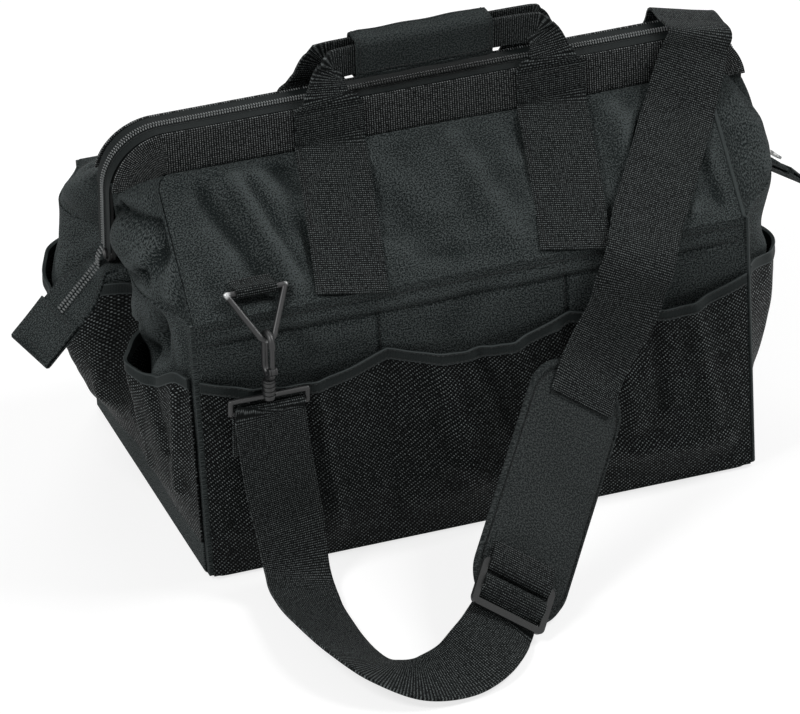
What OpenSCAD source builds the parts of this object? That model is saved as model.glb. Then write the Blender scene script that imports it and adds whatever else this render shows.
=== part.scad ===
// Gate-mouth tool bag: fabric walls and mesh pockets under two hinged steel mouth frames, closed
// by a zip, with a pair of webbing handles and a padded shoulder strap.
// The origin is the centre of the base, on the floor. +X runs along the bag, -Y is the front.

/* [Base and walls] */
// Length of the base
bag_l = 406; // [380:1:440]
// Depth of the base, front to back
bag_d = 240; // [220:1:270]
// Height of the stitched line where the walls end and the shoulders begin
wall_h = 205; // [195:1:215]
// Thickness of the lined wall fabric
wall_t = 2.4; // [1.6:0.1:3]
// How far the long walls bow out at their middle
wall_bow = 5; // [1:0.5:7]
// How far the slack walls lean towards the left end at their top
waist_lean = 11; // [0:1:15]
// Thickness of the fabric floor
base_t = 2.5; // [2:0.1:4]
// Radius of the floor's corners
base_corner_r = 12; // [6:1:20]
// Thickness of the stiffening board
board_t = 3; // [2:0.5:5]
// Gap between the board and the walls
board_gap = 6; // [4:1:12]
// Height of the plain border around the foot of each end
border_h = 28; // [20:1:40]
// Thickness of that border
border_t = 1.6; // [1.2:0.1:2.5]

/* [Slack ends] */
// How far the left end's front lobe sags out
left_front_lobe = 16; // [4:1:24]
// How far the left end's rear lobe sags out
left_rear_lobe = 40; // [20:1:48]
// How far the right end's front lobe sags out
right_front_lobe = 34; // [20:1:46]
// How far the right end's rear lobe sags out
right_rear_lobe = 34; // [20:1:46]
// Depth of the fold that is drawn in under each zip tail
end_fold = 14; // [4:1:20]
// How far a gusset bulges between the wall and the mouth
gusset_bulge = 12; // [4:1:18]
// How far a shoulder bows between its seams
shoulder_bow = 3; // [0:0.5:5]

/* [Mouth] */
// Height of the closed zip above the floor
mouth_h = 294; // [284:1:304]
// Length of the mouth over the legs of its frames
mouth_l = 470; // [450:1:490]
// Radius of the mouth's two upper corners
mouth_corner_r = 42; // [34:1:50]
// Height of the frame hinges
hinge_h = 200; // [190:1:205]
// Height of the ribbed webbing band around the mouth
band_h = 29; // [24:1:34]
// Thickness of the band
band_t = 1.8; // [1.4:0.1:2.4]
// Distance from the zip's centre line to the back of a band
band_y = 13; // [12:0.5:16]
// Lean of each band out from the vertical, in degrees
band_lean = 8; // [4:1:12]
// Distance from the mouth's top down to the cut ends of a band
band_end_drop = 37; // [34:1:42]
// Length of the shoulders along their upper seam
shoulder_l = 408; // [404:1:420]

/* [Mouth frames] */
// Width of the flat steel of a frame
steel_w = 8; // [6:0.5:9]
// Thickness of the flat steel
steel_t = 2.2; // [1.6:0.1:2.6]
// Outer radius of the eye at the foot of each leg
eye_r = 6; // [5:0.5:7]
// Radius of a hinge rivet's shank
rivet_r = 2; // [1.5:0.1:2.5]
// Radius of a rivet's heads
rivet_head_r = 4; // [3:0.1:5]
// Thickness of a rivet's heads
rivet_head_t = 1.5; // [1:0.1:2]

/* [Zip] */
// Width of each zip tape, from the centre line
tape_w = 12; // [11:0.5:12.5]
// Thickness of the tape
tape_t = 1; // [0.8:0.1:1.2]
// Width of one side of the coil
coil_w = 3; // [2:0.1:4]
// Height of the coil above its tape
coil_h = 1.6; // [1:0.1:2]
// Length of the free zip tail beyond each hinge
tail_l = 50; // [40:1:60]
// Width of a tail
tail_w = 46; // [40:1:50]
// Thickness of a tail
tail_t = 2.4; // [1.6:0.1:3]
// Length of the folded tab that ends a tail
tab_l = 36; // [30:1:42]
// Width of a tab
tab_w = 49; // [44:1:52]
// Thickness of a tab
tab_t = 4.4; // [4:0.1:5]
// Droop of both tails below the level, in degrees
tail_pitch = 42; // [36:1:50]
// Turn of the left tail towards the front, in degrees
left_tail_turn = 11; // [0:1:16]
// Turn of the right tail towards the back, in degrees
right_tail_turn = 28; // [20:1:32]
// Length of the slider
slider_l = 12; // [10:0.5:14]
// Width of the slider
slider_w = 9; // [8.5:0.5:11]
// Length of the pull
pull_l = 26; // [20:1:32]
// Width of the pull
pull_w = 10; // [8:0.5:12]

/* [Mesh pockets] */
// Height of the pockets at the corners
pocket_h = 162; // [150:1:170]
// How far a pocket's edge sags between its seams
pocket_sag = 12; // [4:1:16]
// How far a pocket stands out from the wall at its fullest
pocket_bulge = 6.5; // [5:0.5:7]
// Thickness of the mesh
mesh_t = 1.2; // [0.8:0.1:1.6]
// Height of the binding along a pocket's edge
binding_h = 9; // [7:0.5:12]
// Thickness of the binding
binding_t = 2.4; // [2:0.1:3]
// Number of bays in a long pocket
long_bays = 3; // [2:1:4]

/* [Handles] */
// Width of all the webbing
web_w = 50; // [40:1:52]
// Thickness of the webbing
web_t = 2; // [1.5:0.1:2.4]
// Distance between the centres of a handle's two legs
handle_span = 163; // [150:1:180]
// Distance of the handles' middle from the bag's
handle_shift = 5.5; // [-6:0.5:8]
// Height of the grips' centre above the floor
grip_h = 318; // [316:1:328]
// Height of a grip, where its webbing is folded
grip_w = 22; // [19:1:23]
// Thickness of a folded grip
grip_t = 4.4; // [4:0.1:5]
// Length of the wrap around both grips
wrap_l = 100; // [90:1:110]
// Height of the wrap
wrap_h = 31; // [30:0.5:34]
// Depth of the wrap, front to back
wrap_d = 20; // [17:0.5:22]
// Thickness of the wrap's fabric
wrap_t = 2; // [1.4:0.1:2.2]

/* [Ring and snap hook] */
// Length of the triangle ring's top bar
ring_bar = 42; // [40:1:46]
// Height of the ring, from its bar to its apex
ring_h = 35; // [32:1:38]
// Radius of the ring's rounded apex
apex_r = 6; // [5.6:0.2:7]
// Radius of the ring's rod
ring_r = 2.1; // [1.8:0.1:2.3]
// Tilt of the ring out from the vertical, in degrees
ring_tilt = 43; // [41:1:46]
// Distance of each ring's middle from the middle of the bag
ring_x = 164; // [150:1:166]
// Radius of the webbing tab around the bar
tab_loop_r = 4.3; // [3.8:0.1:4.6]
// Radius of the snap hook's bend
hook_bend_r = 7.5; // [7:0.5:8.5]
// Length of the straight side between the hook's bends
hook_side_l = 18; // [16:1:20]
// Radius of the hook's rod
hook_r = 2.3; // [2:0.1:2.5]
// Length of the hook's barrel
barrel_l = 15; // [13.5:0.5:17]
// Radius of the barrel
barrel_r = 4.2; // [3.8:0.1:4.4]
// Number of raised rings on the barrel
barrel_rings = 4; // [3:1:5]
// Height of the swivel eye between its bars
eye_h = 9; // [8.5:0.5:10]
// Radius of the swivel eye's rod
eye_rod_r = 2; // [1.6:0.1:2.1]

/* [Shoulder strap and pad] */
// Length of the shoulder pad
pad_l = 190; // [170:1:200]
// Width of the pad
pad_w = 76; // [70:1:82]
// Thickness of the pad at its crown
pad_t = 12; // [9:0.5:14]
// Thickness of the pad's bound edge
pad_edge_t = 5; // [4:0.5:6]
// Radius of the pad's rounded ends
pad_end_r = 30; // [20:1:34]
// Length of the adjuster across the strap
adjuster_l = 60; // [58:1:64]
// Width of the adjuster along the strap
adjuster_w = 34; // [30:1:36]
// Thickness of the adjuster
adjuster_t = 3; // [2.4:0.1:3.4]
// Distance from the middle of the bag to the strap where it crosses the mouth
strap_mouth_x = 199; // [190:1:202]
// Distance from the middle of the bag to the strap where it leaves the front shoulder
strap_edge_x = 103; // [92:1:110]

/* [Placing of the pad] */
// Distance of the pad's middle from the middle of the bag
pad_x = 13; // [0:1:30]
// Distance of the pad's middle in front of the front wall
pad_out = 76; // [74:1:84]
// Turn of the pad's face up from the upright, in degrees
pad_lie = 45; // [43:1:48]
// Turn of the pad's foot towards the left, in degrees
pad_slant = 35; // [32:1:37]
// Turn of the pad's face towards the right, in degrees
pad_turn = 12; // [8:1:14]

/* [Hidden] */

fabric_color = [0.13, 0.15, 0.15];
web_color = [0.10, 0.12, 0.12];
mesh_color = [0.07, 0.09, 0.09];
binding_color = [0.05, 0.06, 0.06];
coil_color = [0.03, 0.03, 0.03];
black_metal_color = [0.09, 0.09, 0.10];
steel_color = [0.55, 0.56, 0.58];
board_color = [0.20, 0.18, 0.16];

$fn = 48;
// Gap between pieces that lie on each other, running gap of a pin, and overrun of a cut
clear = 0.3;
pin_gap = 0.05;
over = 1;

half_l = bag_l / 2;
half_d = bag_d / 2;
half_mouth = mouth_l / 2;
tape_z = mouth_h - coil_h;

function mix(p, q, t) = p + (q - p) * t;
function unit(v) = v / norm(v);
function smooth(t) = let (c = min(1, max(0, t))) c * c * (3 - 2 * c);
function bump(q) = let (c = max(0, 1 - q * q)) c * c;

// A sheet of fabric whose outer face is f(u, v), for u and v from 0 to 1, and whose inner face lies
// at the vector inset from it. The outer face is on the side of u cross v, unless flip is true.
module sheet(f, nu, nv, inset, flip = false) {
    row = nu + 1;
    count = row * (nv + 1);
    outer = [for (j = [0:nv], i = [0:nu]) f(i / nu, j / nv)];
    points = concat(outer, [for (p = outer) p + inset]);
    skins = [for (j = [0:nv - 1], i = [0:nu - 1]) let (a = j * row + i, b = a + 1, c = b + row, d = a + row)
        each [[a, d, c], [a, c, b], [a + count, b + count, c + count], [a + count, c + count, d + count]]];
    feet = [for (i = [0:nu - 1]) let (a = i, c = nv * row + i)
        each [[a, a + 1, a + 1 + count], [a, a + 1 + count, a + count],
              [c, c + 1 + count, c + 1], [c, c + count, c + 1 + count]]];
    sides = [for (j = [0:nv - 1]) let (a = j * row, b = a + nu)
        each [[a, a + count, a + row + count], [a, a + row + count, a + row],
              [b, b + row + count, b + count], [b, b + row, b + row + count]]];
    faces = concat(skins, feet, sides);
    polyhedron(points, flip ? [for (t = faces) [t[0], t[2], t[1]]] : faces);
}

// A strip of webbing along stations of [centre, direction across, width, thickness]
function along(st, i) = unit(st[min(i + 1, len(st) - 1)][0] - st[max(i - 1, 0)][0]);
function square_to(w, t) = unit(w - t * (w * t));
module ribbon(st) {
    last = len(st) - 1;
    points = [for (i = [0:last]) let (t = along(st, i), w = square_to(st[i][1], t), n = cross(t, w),
                  c = st[i][0], x = w * st[i][2] / 2, z = n * st[i][3] / 2)
        each [c - x - z, c + x - z, c + x + z, c - x + z]];
    walls = [for (i = [0:last - 1], k = [0:3])
        let (a = 4 * i + k, b = 4 * i + (k + 1) % 4, c = b + 4, d = a + 4)
        each [[a, c, b], [a, d, c]]];
    end = 4 * last;
    ends = [[0, 1, 2], [0, 2, 3], [end, end + 2, end + 1], [end, end + 3, end + 2]];
    polyhedron(points, concat(walls, ends));
}

// The same stations with a smooth curve through them
function curve(a, b, c, d, t) =
    (2 * b + (c - a) * t + (2 * a - 5 * b + 4 * c - d) * t * t + (3 * b - a - 3 * c + d) * t * t * t) / 2;
function eased(st, steps) = let (last = len(st) - 1) concat(
    [for (i = [0:last - 1], k = [0:steps - 1]) let (t = k / steps,
        a = st[max(i - 1, 0)], b = st[i], c = st[i + 1], d = st[min(i + 2, last)])
        [curve(a[0], b[0], c[0], d[0], t), unit(mix(b[1], c[1], t)), mix(b[2], c[2], t), mix(b[3], c[3], t)]],
    [st[last]]);

// A round rod between two points
module rod(p, q, r) {
    d = q - p;
    translate(p) rotate([0, acos(d[2] / norm(d)), atan2(d[1], d[0])]) cylinder(h = norm(d), r = r);
}

// Walls. Each wall is a sheet; h is its height as a share of wall_h, and s is the depth on an end
// wall, from -1 at the front to 1 at the back.
lobe_full_share = 0.7;
lobe_top_share = 0.55;
lobe_place_share = 0.55;
lobe_reach_share = 0.42;
fold_place_share = 0.72;
fold_reach_share = 0.24;
fold_height_share = 0.26;
tie_from_share = 0.78;
function lobe_rise(h) = smooth(h / lobe_full_share)
    * (1 - (1 - lobe_top_share) * smooth((h - lobe_full_share) / (1 - lobe_full_share)));

// The end wall's top edge runs in to the foot of the frames, just inside their inner rivet heads
front_steel_in = coil_h + tape_t + clear;
rear_steel_in = front_steel_in + steel_t + clear;
rivet_in = rear_steel_in + steel_t + clear + rivet_head_t;
function tie(sx) = half_mouth - rivet_in - clear - half_l + sx * waist_lean;
function end_out(sx, s, h) = let (front = sx < 0 ? left_front_lobe : right_front_lobe,
                                  rear = sx < 0 ? left_rear_lobe : right_rear_lobe)
    lobe_rise(h) * (front * bump((s + lobe_place_share) / lobe_reach_share)
                    + rear * bump((s - lobe_place_share) / lobe_reach_share))
    - end_fold * bump(s / fold_reach_share) * bump((h - fold_place_share) / fold_height_share)
    + tie(sx) * smooth((h - tie_from_share) / (1 - tie_from_share)) * (1 - s * s);
function end_point(sx, s, z, out) =
    let (h = z / wall_h) [sx * (half_l + end_out(sx, s, h) + out) - waist_lean * h, s * half_d, z];
function wall_y(x, z) = half_d + wall_bow * cos(90 * min(1, abs(x) / half_l)) * sin(180 * min(1, z / wall_h));
function long_point(sy, x, z, out) = [x - waist_lean * z / wall_h, sy * (wall_y(x, z) + out), z];

inner_l = half_l - wall_t - clear;
wall_top = wall_h - clear;
module long_wall(sy)
    color(fabric_color)
        sheet(function (u, v) long_point(sy, mix(-inner_l, inner_l, u), mix(base_t, wall_top, v), 0),
              12, 8, [0, -sy * wall_t, 0], sy > 0);
module end_wall(sx)
    color(fabric_color)
        sheet(function (u, v) end_point(sx, mix(-1, 1, u), mix(base_t, wall_top, v), 0),
              24, 24, [-sx * wall_t, 0, 0], sx < 0);

module front_panel() long_wall(-1);
module rear_panel() long_wall(1);
module left_end_panel() end_wall(-1);
module right_end_panel() end_wall(1);

module rounded_plate(l, d, r, t) {
    linear_extrude(t) {
        square([l, d - 2 * r], center = true);
        square([l - 2 * r, d], center = true);
        for (x = [-1, 1], y = [-1, 1]) translate([x * (l / 2 - r), y * (d / 2 - r)]) circle(r);
    }
}
module base_panel() color(fabric_color) rounded_plate(bag_l, bag_d, base_corner_r, base_t);
board_in = wall_t + board_gap;
module base_board()
    color(board_color) translate([0, 0, base_t])
        rounded_plate(bag_l - 2 * board_in, bag_d - 2 * board_in, base_corner_r, board_t);

// The border and the end pockets stop short of the corner seams
end_seam_share = 0.96;
module base_border(sx)
    color(fabric_color)
        sheet(function (u, v) end_point(sx, mix(-end_seam_share, end_seam_share, u), mix(base_t, border_h, v),
                                        clear + border_t),
              16, 3, [-sx * border_t, 0, 0], sx < 0);
module left_base_border() base_border(-1);
module right_base_border() base_border(1);

// Mesh pockets. A pocket is sewn down at its foot and between its bays, and stands open at its edge.
full_from_share = 0.25;
edge_full_share = 0.8;
function fullness(v) = smooth(v / full_from_share) * mix(1, edge_full_share, smooth(v));
function bay(u, bays) = abs(sin(180 * u * bays));
function edge_z(u, bays) = pocket_h - pocket_sag * bay(u, bays);
pocket_foot = base_t + clear;
function pocket_out(u, v, bays) = 3 * clear + mesh_t + pocket_bulge * bay(u, bays) * fullness(v);
binding_out = binding_t - mesh_t;
module long_mesh(sy)
    color(mesh_color)
        sheet(function (u, v) long_point(sy, mix(-inner_l, inner_l, u),
                  mix(pocket_foot, edge_z(u, long_bays) - binding_h - clear, v), pocket_out(u, v, long_bays)),
              8 * long_bays, 8, [0, -sy * mesh_t, 0], sy > 0);
module long_binding(sy)
    color(binding_color)
        sheet(function (u, v) long_point(sy, mix(-inner_l, inner_l, u),
                  edge_z(u, long_bays) - binding_h * (1 - v), binding_out + pocket_out(u, 1, long_bays)),
              8 * long_bays, 1, [0, -sy * binding_t, 0], sy > 0);
end_foot = border_h + clear;
end_bays = 2;
module end_mesh(sx)
    color(mesh_color)
        sheet(function (u, v) end_point(sx, mix(-end_seam_share, end_seam_share, u),
                  mix(end_foot, edge_z(u, end_bays) - binding_h - clear, v),
                  clear + pocket_out(u, v, end_bays)),
              20, 12, [-sx * mesh_t, 0, 0], sx < 0);
module end_binding(sx)
    color(binding_color)
        sheet(function (u, v) end_point(sx, mix(-end_seam_share, end_seam_share, u),
                  edge_z(u, end_bays) - binding_h * (1 - v),
                  clear + binding_out + pocket_out(u, 1, end_bays)),
              20, 1, [-sx * binding_t, 0, 0], sx < 0);
module front_mesh_pocket() long_mesh(-1);
module rear_mesh_pocket() long_mesh(1);
module left_mesh_pocket() end_mesh(-1);
module right_mesh_pocket() end_mesh(1);
module front_pocket_binding() long_binding(-1);
module rear_pocket_binding() long_binding(1);
module left_pocket_binding() end_binding(-1);
module right_pocket_binding() end_binding(1);

// Shoulders slope from the wall's stitched line up to the foot of the mouth band
band_foot_z = tape_z - band_h * cos(band_lean);
band_foot_y = band_y + band_h * sin(band_lean);
shoulder_top = [band_foot_y + band_t / 2, band_foot_z - clear];
shoulder_rise = shoulder_top[1] - wall_h;
shoulder_run = half_d - shoulder_top[0];
shoulder_slope = norm([shoulder_rise, shoulder_run]);
// Horizontal inset that leaves the wall's thickness square to the slope
shoulder_inset = wall_t * shoulder_slope / shoulder_rise;
function shoulder_normal(sy) = [0, sy * shoulder_rise, shoulder_run] / shoulder_slope;
function shoulder_point(sy, x, v, out) =
    [x, sy * mix(half_d, shoulder_top[0], v), mix(wall_h, shoulder_top[1], v)]
    + shoulder_normal(sy) * (out + shoulder_bow * sin(180 * min(1, max(0, v)))
                                   * cos(90 * min(1, abs(x) / half_l)));
// Its sides run straight up to the band's ends and there follow the band's rounded inner corners
inner_corner_r = mouth_corner_r - coil_h - band_h;
function corner_x(z) = half_mouth - mouth_corner_r - 2 * clear
    + sqrt(max(0, pow(inner_corner_r, 2) - pow(max(0, z - mouth_h + mouth_corner_r), 2)));
function shoulder_end(sx, v) = let (z = mix(wall_h, shoulder_top[1], v),
    x = mix(sx * inner_l - waist_lean, sx * (shoulder_l / 2 - wall_t - clear), v))
    v > 0.9 ? sx * min(abs(x), corner_x(z)) : x;
module shoulder(sy)
    color(fabric_color)
        sheet(function (u, v) shoulder_point(sy, mix(shoulder_end(-1, v), shoulder_end(1, v), u), v, 0),
              12, 12, [0, -sy * shoulder_inset, 0], sy > 0);
module front_shoulder() shoulder(-1);
module rear_shoulder() shoulder(1);

// A gusset fills the corner between the end wall's top edge, the zip beside the frame's leg, the
// cut end of the band and the side of the shoulder
leg_y = tape_w + clear;
leg_in = coil_h + tape_t;
gusset_h = mouth_h - band_end_drop - 2 * clear;
function gusset_point(sx, sy, u, v) =
    let (foot = end_point(sx, sy * mix(leg_y / half_d, 1, u), wall_h, 0),
         leg_top = [sx * (half_mouth - leg_in), sy * leg_y, gusset_h],
         seam_top = mix([sx * half_l - waist_lean, sy * half_d, wall_h],
                        [sx * shoulder_l / 2, sy * shoulder_top[0], shoulder_top[1]],
                        (gusset_h - wall_h) / shoulder_rise))
    mix(foot, mix(leg_top, seam_top, u), v) + [sx * gusset_bulge * sin(180 * u) * sin(180 * v), 0, 0];
module gusset(sx, sy)
    color(fabric_color)
        sheet(function (u, v) gusset_point(sx, sy, u, v), 10, 6, [-sx * wall_t, 0, 0], sx * sy < 0);
module left_front_gusset() gusset(-1, -1);
module left_rear_gusset() gusset(-1, 1);
module right_front_gusset() gusset(1, -1);
module right_rear_gusset() gusset(1, 1);

// The mouth: an outline in the plane of the zip, set in from the coil's outer face, and strips of
// it between two distances from the zip's centre line
module mouth_outline(in, low) {
    top = mouth_h - in;
    half = half_mouth - in;
    r = mouth_corner_r - in;
    translate([-half, low]) square([2 * half, top - r - low]);
    translate([r - half, low]) square([2 * (half - r), top - low]);
    for (x = [-1, 1]) translate([x * (half - r), top - r]) circle(r);
}
module mouth_ring(in, t, low) {
    difference() {
        mouth_outline(in, low);
        mouth_outline(in + t, low - over);
    }
}
module mouth_strip(in, t, low, sy, near, far) {
    y = sy > 0 ? near : -far;
    translate([0, y + far - near, 0]) rotate([90, 0, 0]) linear_extrude(far - near) mouth_ring(in, t, low);
}

// Steel frames: flat strips with an eye at the foot of each leg, riveted one inside the other. The
// strips and the zip start above the eyes, so that they clear the zip's tails when the mouth opens.
steel_y = tape_w - steel_w - over;
module steel_frame(sy, in) {
    color(steel_color) difference() {
        union() {
            mouth_strip(in, steel_t, hinge_h + steel_w / 2, sy, steel_y, steel_y + steel_w);
            for (sx = [-1, 1])
                translate([sx * (half_mouth - in - steel_t / 2), 0, hinge_h])
                    rotate([0, 90, 0]) cylinder(h = steel_t, r = eye_r, center = true);
        }
        translate([0, 0, hinge_h]) rotate([0, 90, 0])
            cylinder(h = mouth_l, r = rivet_r + pin_gap, center = true);
    }
}
module front_frame() steel_frame(-1, front_steel_in);
module rear_frame() steel_frame(1, rear_steel_in);
module hinge_rivet(sx) {
    outer_head = half_mouth - front_steel_in + clear;
    inner_head = half_mouth - rear_steel_in - steel_t - clear;
    color(steel_color) translate([0, 0, hinge_h]) rotate([0, sx * 90, 0]) {
        translate([0, 0, inner_head - rivet_head_t])
            cylinder(h = outer_head - inner_head + 2 * rivet_head_t, r = rivet_r);
        translate([0, 0, inner_head - rivet_head_t]) cylinder(h = rivet_head_t, r = rivet_head_r);
        translate([0, 0, outer_head]) cylinder(h = rivet_head_t, r = rivet_head_r);
    }
}
module left_hinge_rivet() hinge_rivet(-1);
module right_hinge_rivet() hinge_rivet(1);

// Zip: tapes and coils run round the mouth and end just above the rivets
tape_low = hinge_h + eye_r;
module zip_tape(sy) color(binding_color) mouth_strip(coil_h, tape_t, tape_low, sy, clear / 2, tape_w);
module zip_coil(sy) color(coil_color) mouth_strip(0, coil_h, tape_low, sy, clear / 2, clear / 2 + coil_w);
module front_zip_tape() zip_tape(-1);
module rear_zip_tape() zip_tape(1);
module front_zip_coil() zip_coil(-1);
module rear_zip_coil() zip_coil(1);

// Bands: ribbed webbing that follows the mouth's corners and leans out from the zip
module mouth_band(sy) {
    low = mouth_h - band_end_drop;
    color(web_color)
        translate([0, sy * band_y, tape_z]) rotate([sy * band_lean, 0, 0])
            translate([0, -sy * band_y, -tape_z]) intersection() {
                mouth_strip(coil_h, band_h, hinge_h, sy, band_y, band_y + band_t);
                translate([-half_mouth, -half_d, low]) cube([mouth_l, bag_d, band_end_drop]);
            }
}
module front_mouth_band() mouth_band(-1);
module rear_mouth_band() mouth_band(1);

// Zip tails: a sewn root under each hinge, then a strip that points out and down into a folded tab
tail_z = hinge_h - steel_w - tail_t / 2;
tail_x = half_mouth + tail_t;
tab_grip = tab_t * 2;
slit_t = tail_t + 2 * clear;
root_w = 2 * tape_w;
function tail_yaw(sx) = sx < 0 ? 180 + left_tail_turn : right_tail_turn;
function tail_way(sx) =
    [cos(tail_pitch) * cos(tail_yaw(sx)), cos(tail_pitch) * sin(tail_yaw(sx)), -sin(tail_pitch)];
function tail_across(sx) = [-sin(tail_yaw(sx)), cos(tail_yaw(sx)), 0];
function tail_spot(sx, x) = [sx * tail_x, 0, tail_z] + tail_way(sx) * x;
module at_tail(sx, x)
    translate(tail_spot(sx, x)) rotate([0, 0, tail_yaw(sx)]) rotate([0, tail_pitch, 0]) children();
module zip_tail(sx) {
    root = end_point(sx, 0, tail_z + tail_t / 2, clear);
    color(fabric_color) ribbon(eased([
        [[root[0], 0, tail_z], [0, sx, 0], root_w, tail_t],
        [tail_spot(sx, 0), mix([0, sx, 0], tail_across(sx), 1 / 2), root_w, tail_t],
        [tail_spot(sx, tail_l / 4), tail_across(sx), mix(root_w, tail_w, 1 / 2), tail_t],
        [tail_spot(sx, tail_l / 2), tail_across(sx), tail_w, tail_t],
        [tail_spot(sx, tail_l), tail_across(sx), tail_w, tail_t]], 3));
}
module tail_tab(sx) {
    color(web_color) at_tail(sx, tail_l - tab_grip) difference() {
        translate([0, -tab_w / 2, -tab_t / 2]) cube([tab_l, tab_w, tab_t]);
        translate([-over, -tail_w / 2 - clear, -slit_t / 2])
            cube([tab_grip + clear + over, tail_w + 2 * clear, slit_t]);
    }
}
module left_zip_tail() zip_tail(-1);
module right_zip_tail() zip_tail(1);
module left_tail_tab() tail_tab(-1);
module right_tail_tab() tail_tab(1);

// Zip slider on the right tail, with a bail that carries the pull
slider_t = 2 * coil_h;
bail_r = coil_h / 2;
pull_t = coil_h;
post_t = pull_t;
bail_z = tail_t / 2 + clear + slider_t + pull_t + clear;
slider_x = tail_l - tab_grip - clear - slider_l / 2 - tail_t;
eye_wall = bail_r + pin_gap + pull_t / 2;
module zip_slider() {
    color(black_metal_color) at_tail(1, slider_x) {
        translate([0, 0, tail_t / 2 + clear]) {
            linear_extrude(slider_t) {
                translate([-slider_l / 4, 0]) square([slider_l / 2, slider_w * 2 / 3], center = true);
                translate([slider_l / 4, 0]) square([slider_l / 2, slider_w], center = true);
            }
        }
        for (y = [-1, 1])
            translate([-eye_wall, y * (slider_w / 2 - post_t / 2) - post_t / 2, bail_z - slider_t])
                cube([2 * eye_wall, post_t, slider_t + eye_wall]);
        translate([0, 0, bail_z]) rotate([90, 0, 0]) cylinder(h = slider_w, r = bail_r, center = true);
    }
}
// The pull lies along the tail, over the tab, and swings up on the bail
pull_eye_w = slider_w - 2 * post_t - 2 * clear;
module zip_pull() {
    color(steel_color) at_tail(1, slider_x) translate([0, 0, bail_z]) {
        difference() {
            union() {
                rotate([90, 0, 0]) cylinder(h = pull_eye_w, r = eye_wall, center = true);
                translate([0, -pull_eye_w / 2, eye_wall - pull_t]) cube([slider_l / 2, pull_eye_w, pull_t]);
            }
            rotate([90, 0, 0]) cylinder(h = slider_w, r = bail_r + pin_gap, center = true);
        }
        translate([0, 0, eye_wall - pull_t]) linear_extrude(pull_t) difference() {
            pull_outline(pull_w);
            pull_outline(pull_w - 2 * pull_t);
        }
    }
}
module pull_outline(w) {
    near = slider_l / 2 + pull_w / 2 - pull_t;
    far = pull_l - pull_w / 2;
    for (x = [near, far]) translate([x, 0]) circle(w / 2);
    translate([near, -w / 2]) square([far - near, w]);
}

// Handles: two legs of webbing up each shoulder and over its band, and a loop between them whose
// webbing turns on edge and folds in half at the grip
lie = clear + web_t / 2;
loop_z = mouth_h - 2 * coil_h;
band_normal_y = cos(band_lean);
band_face_y = band_y + band_t / cos(band_lean);
function band_at(z) = band_face_y + (tape_z - z) * tan(band_lean) + lie / cos(band_lean);
function on_shoulder(sy, x, v) = shoulder_point(sy, x, v, lie + clear);
function leg_x(sx, v) = handle_shift + sx * handle_span / 2 - 2 * waist_lean * (1 - v);
leg_shares = [0, 0.25, 0.5, 0.75, 0.95];
module handle_leg(sx, sy) {
    knee_z = band_foot_z + web_t;
    ribbon(concat(
        [for (v = leg_shares) [on_shoulder(sy, leg_x(sx, v), v), [1, 0, 0], web_w, web_t]],
        [for (z = [knee_z, mix(knee_z, loop_z, 1 / 2), loop_z - clear / 2])
            [[leg_x(sx, 1), sy * band_at(z), z], [1, 0, 0], web_w, web_t]]));
}
module handle_legs(sy) {
    color(web_color) {
        handle_leg(-1, sy);
        handle_leg(1, sy);
    }
}
grip_y = wrap_d / 2 - wrap_t - clear - grip_t / 2;
module handle_loop(sy) {
    foot = loop_z + clear / 2;
    leg_end_y = band_at(loop_z);
    half = [
        [handle_span / 2, leg_end_y, foot, [1, 0, 0], web_w, web_t],
        [handle_span / 2, leg_end_y, foot + 2 * web_t, [1, 0, 0], web_w * 9 / 10, web_t],
        [handle_span / 2, mix(leg_end_y, grip_y, 1 / 5), foot + 5 * web_t, [1, 0, 0], web_w * 3 / 5,
         mix(web_t, grip_t, 1 / 4)],
        [handle_span / 2 - 2 * web_t, mix(leg_end_y, grip_y, 3 / 5), grip_h - 2 * web_t, [1, 0, -1],
         grip_w, mix(web_t, grip_t, 3 / 4)],
        [wrap_l / 2 + grip_w / 2, grip_y, grip_h, [0, 0, -1], grip_w, grip_t]];
    last = len(half) - 1;
    color(web_color) ribbon(concat(
        [for (i = [0, 1]) loop_station(sy, -1, half[i])],
        eased([for (i = [2:last]) loop_station(sy, -1, half[i])], 2),
        eased([for (i = [last:-1:2]) loop_station(sy, 1, half[i])], 2),
        [for (i = [1, 0]) loop_station(sy, 1, half[i])]));
}
function loop_station(sy, sx, p) =
    [[handle_shift + sx * p[0], sy * p[1], p[2]], [-sx * p[3][0], 0, p[3][2]], p[4], p[5]];
module front_handle_legs() handle_legs(-1);
module rear_handle_legs() handle_legs(1);
module front_handle_loop() handle_loop(-1);
module rear_handle_loop() handle_loop(1);

// The wrap is a sleeve around both grips: the front half with its top, and a flap that hinges on
// the top's rear edge and closes the back and the underside
wrap_r = wrap_d / 4;
wrap_x = handle_shift - web_w / 6;
module wrap_section() {
    difference() {
        wrap_outline(0);
        wrap_outline(wrap_t);
    }
}
module wrap_outline(in) {
    r = wrap_r - in;
    square([wrap_d - 2 * in, wrap_h - 2 * in - 2 * r], center = true);
    square([wrap_d - 2 * in - 2 * r, wrap_h - 2 * in], center = true);
    for (y = [-1, 1], z = [-1, 1])
        translate([y * (wrap_d / 2 - wrap_r), z * (wrap_h / 2 - wrap_r)]) circle(r);
}
module front_half(gap)
    polygon([[-wrap_d, gap - wrap_h / 2 + wrap_r],
             [gap - wrap_d / 2 + wrap_t + over, gap - wrap_h / 2 + wrap_r],
             [gap - wrap_d / 2 + wrap_t + over, 0], [wrap_d / 2 - wrap_r - gap, wrap_h / 2 - wrap_r],
             [wrap_d / 2 - wrap_r - gap, wrap_h], [-wrap_d, wrap_h]]);
module at_wrap() translate([wrap_x - wrap_l / 2, 0, grip_h]) rotate([90, 0, 90]) children();
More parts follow.
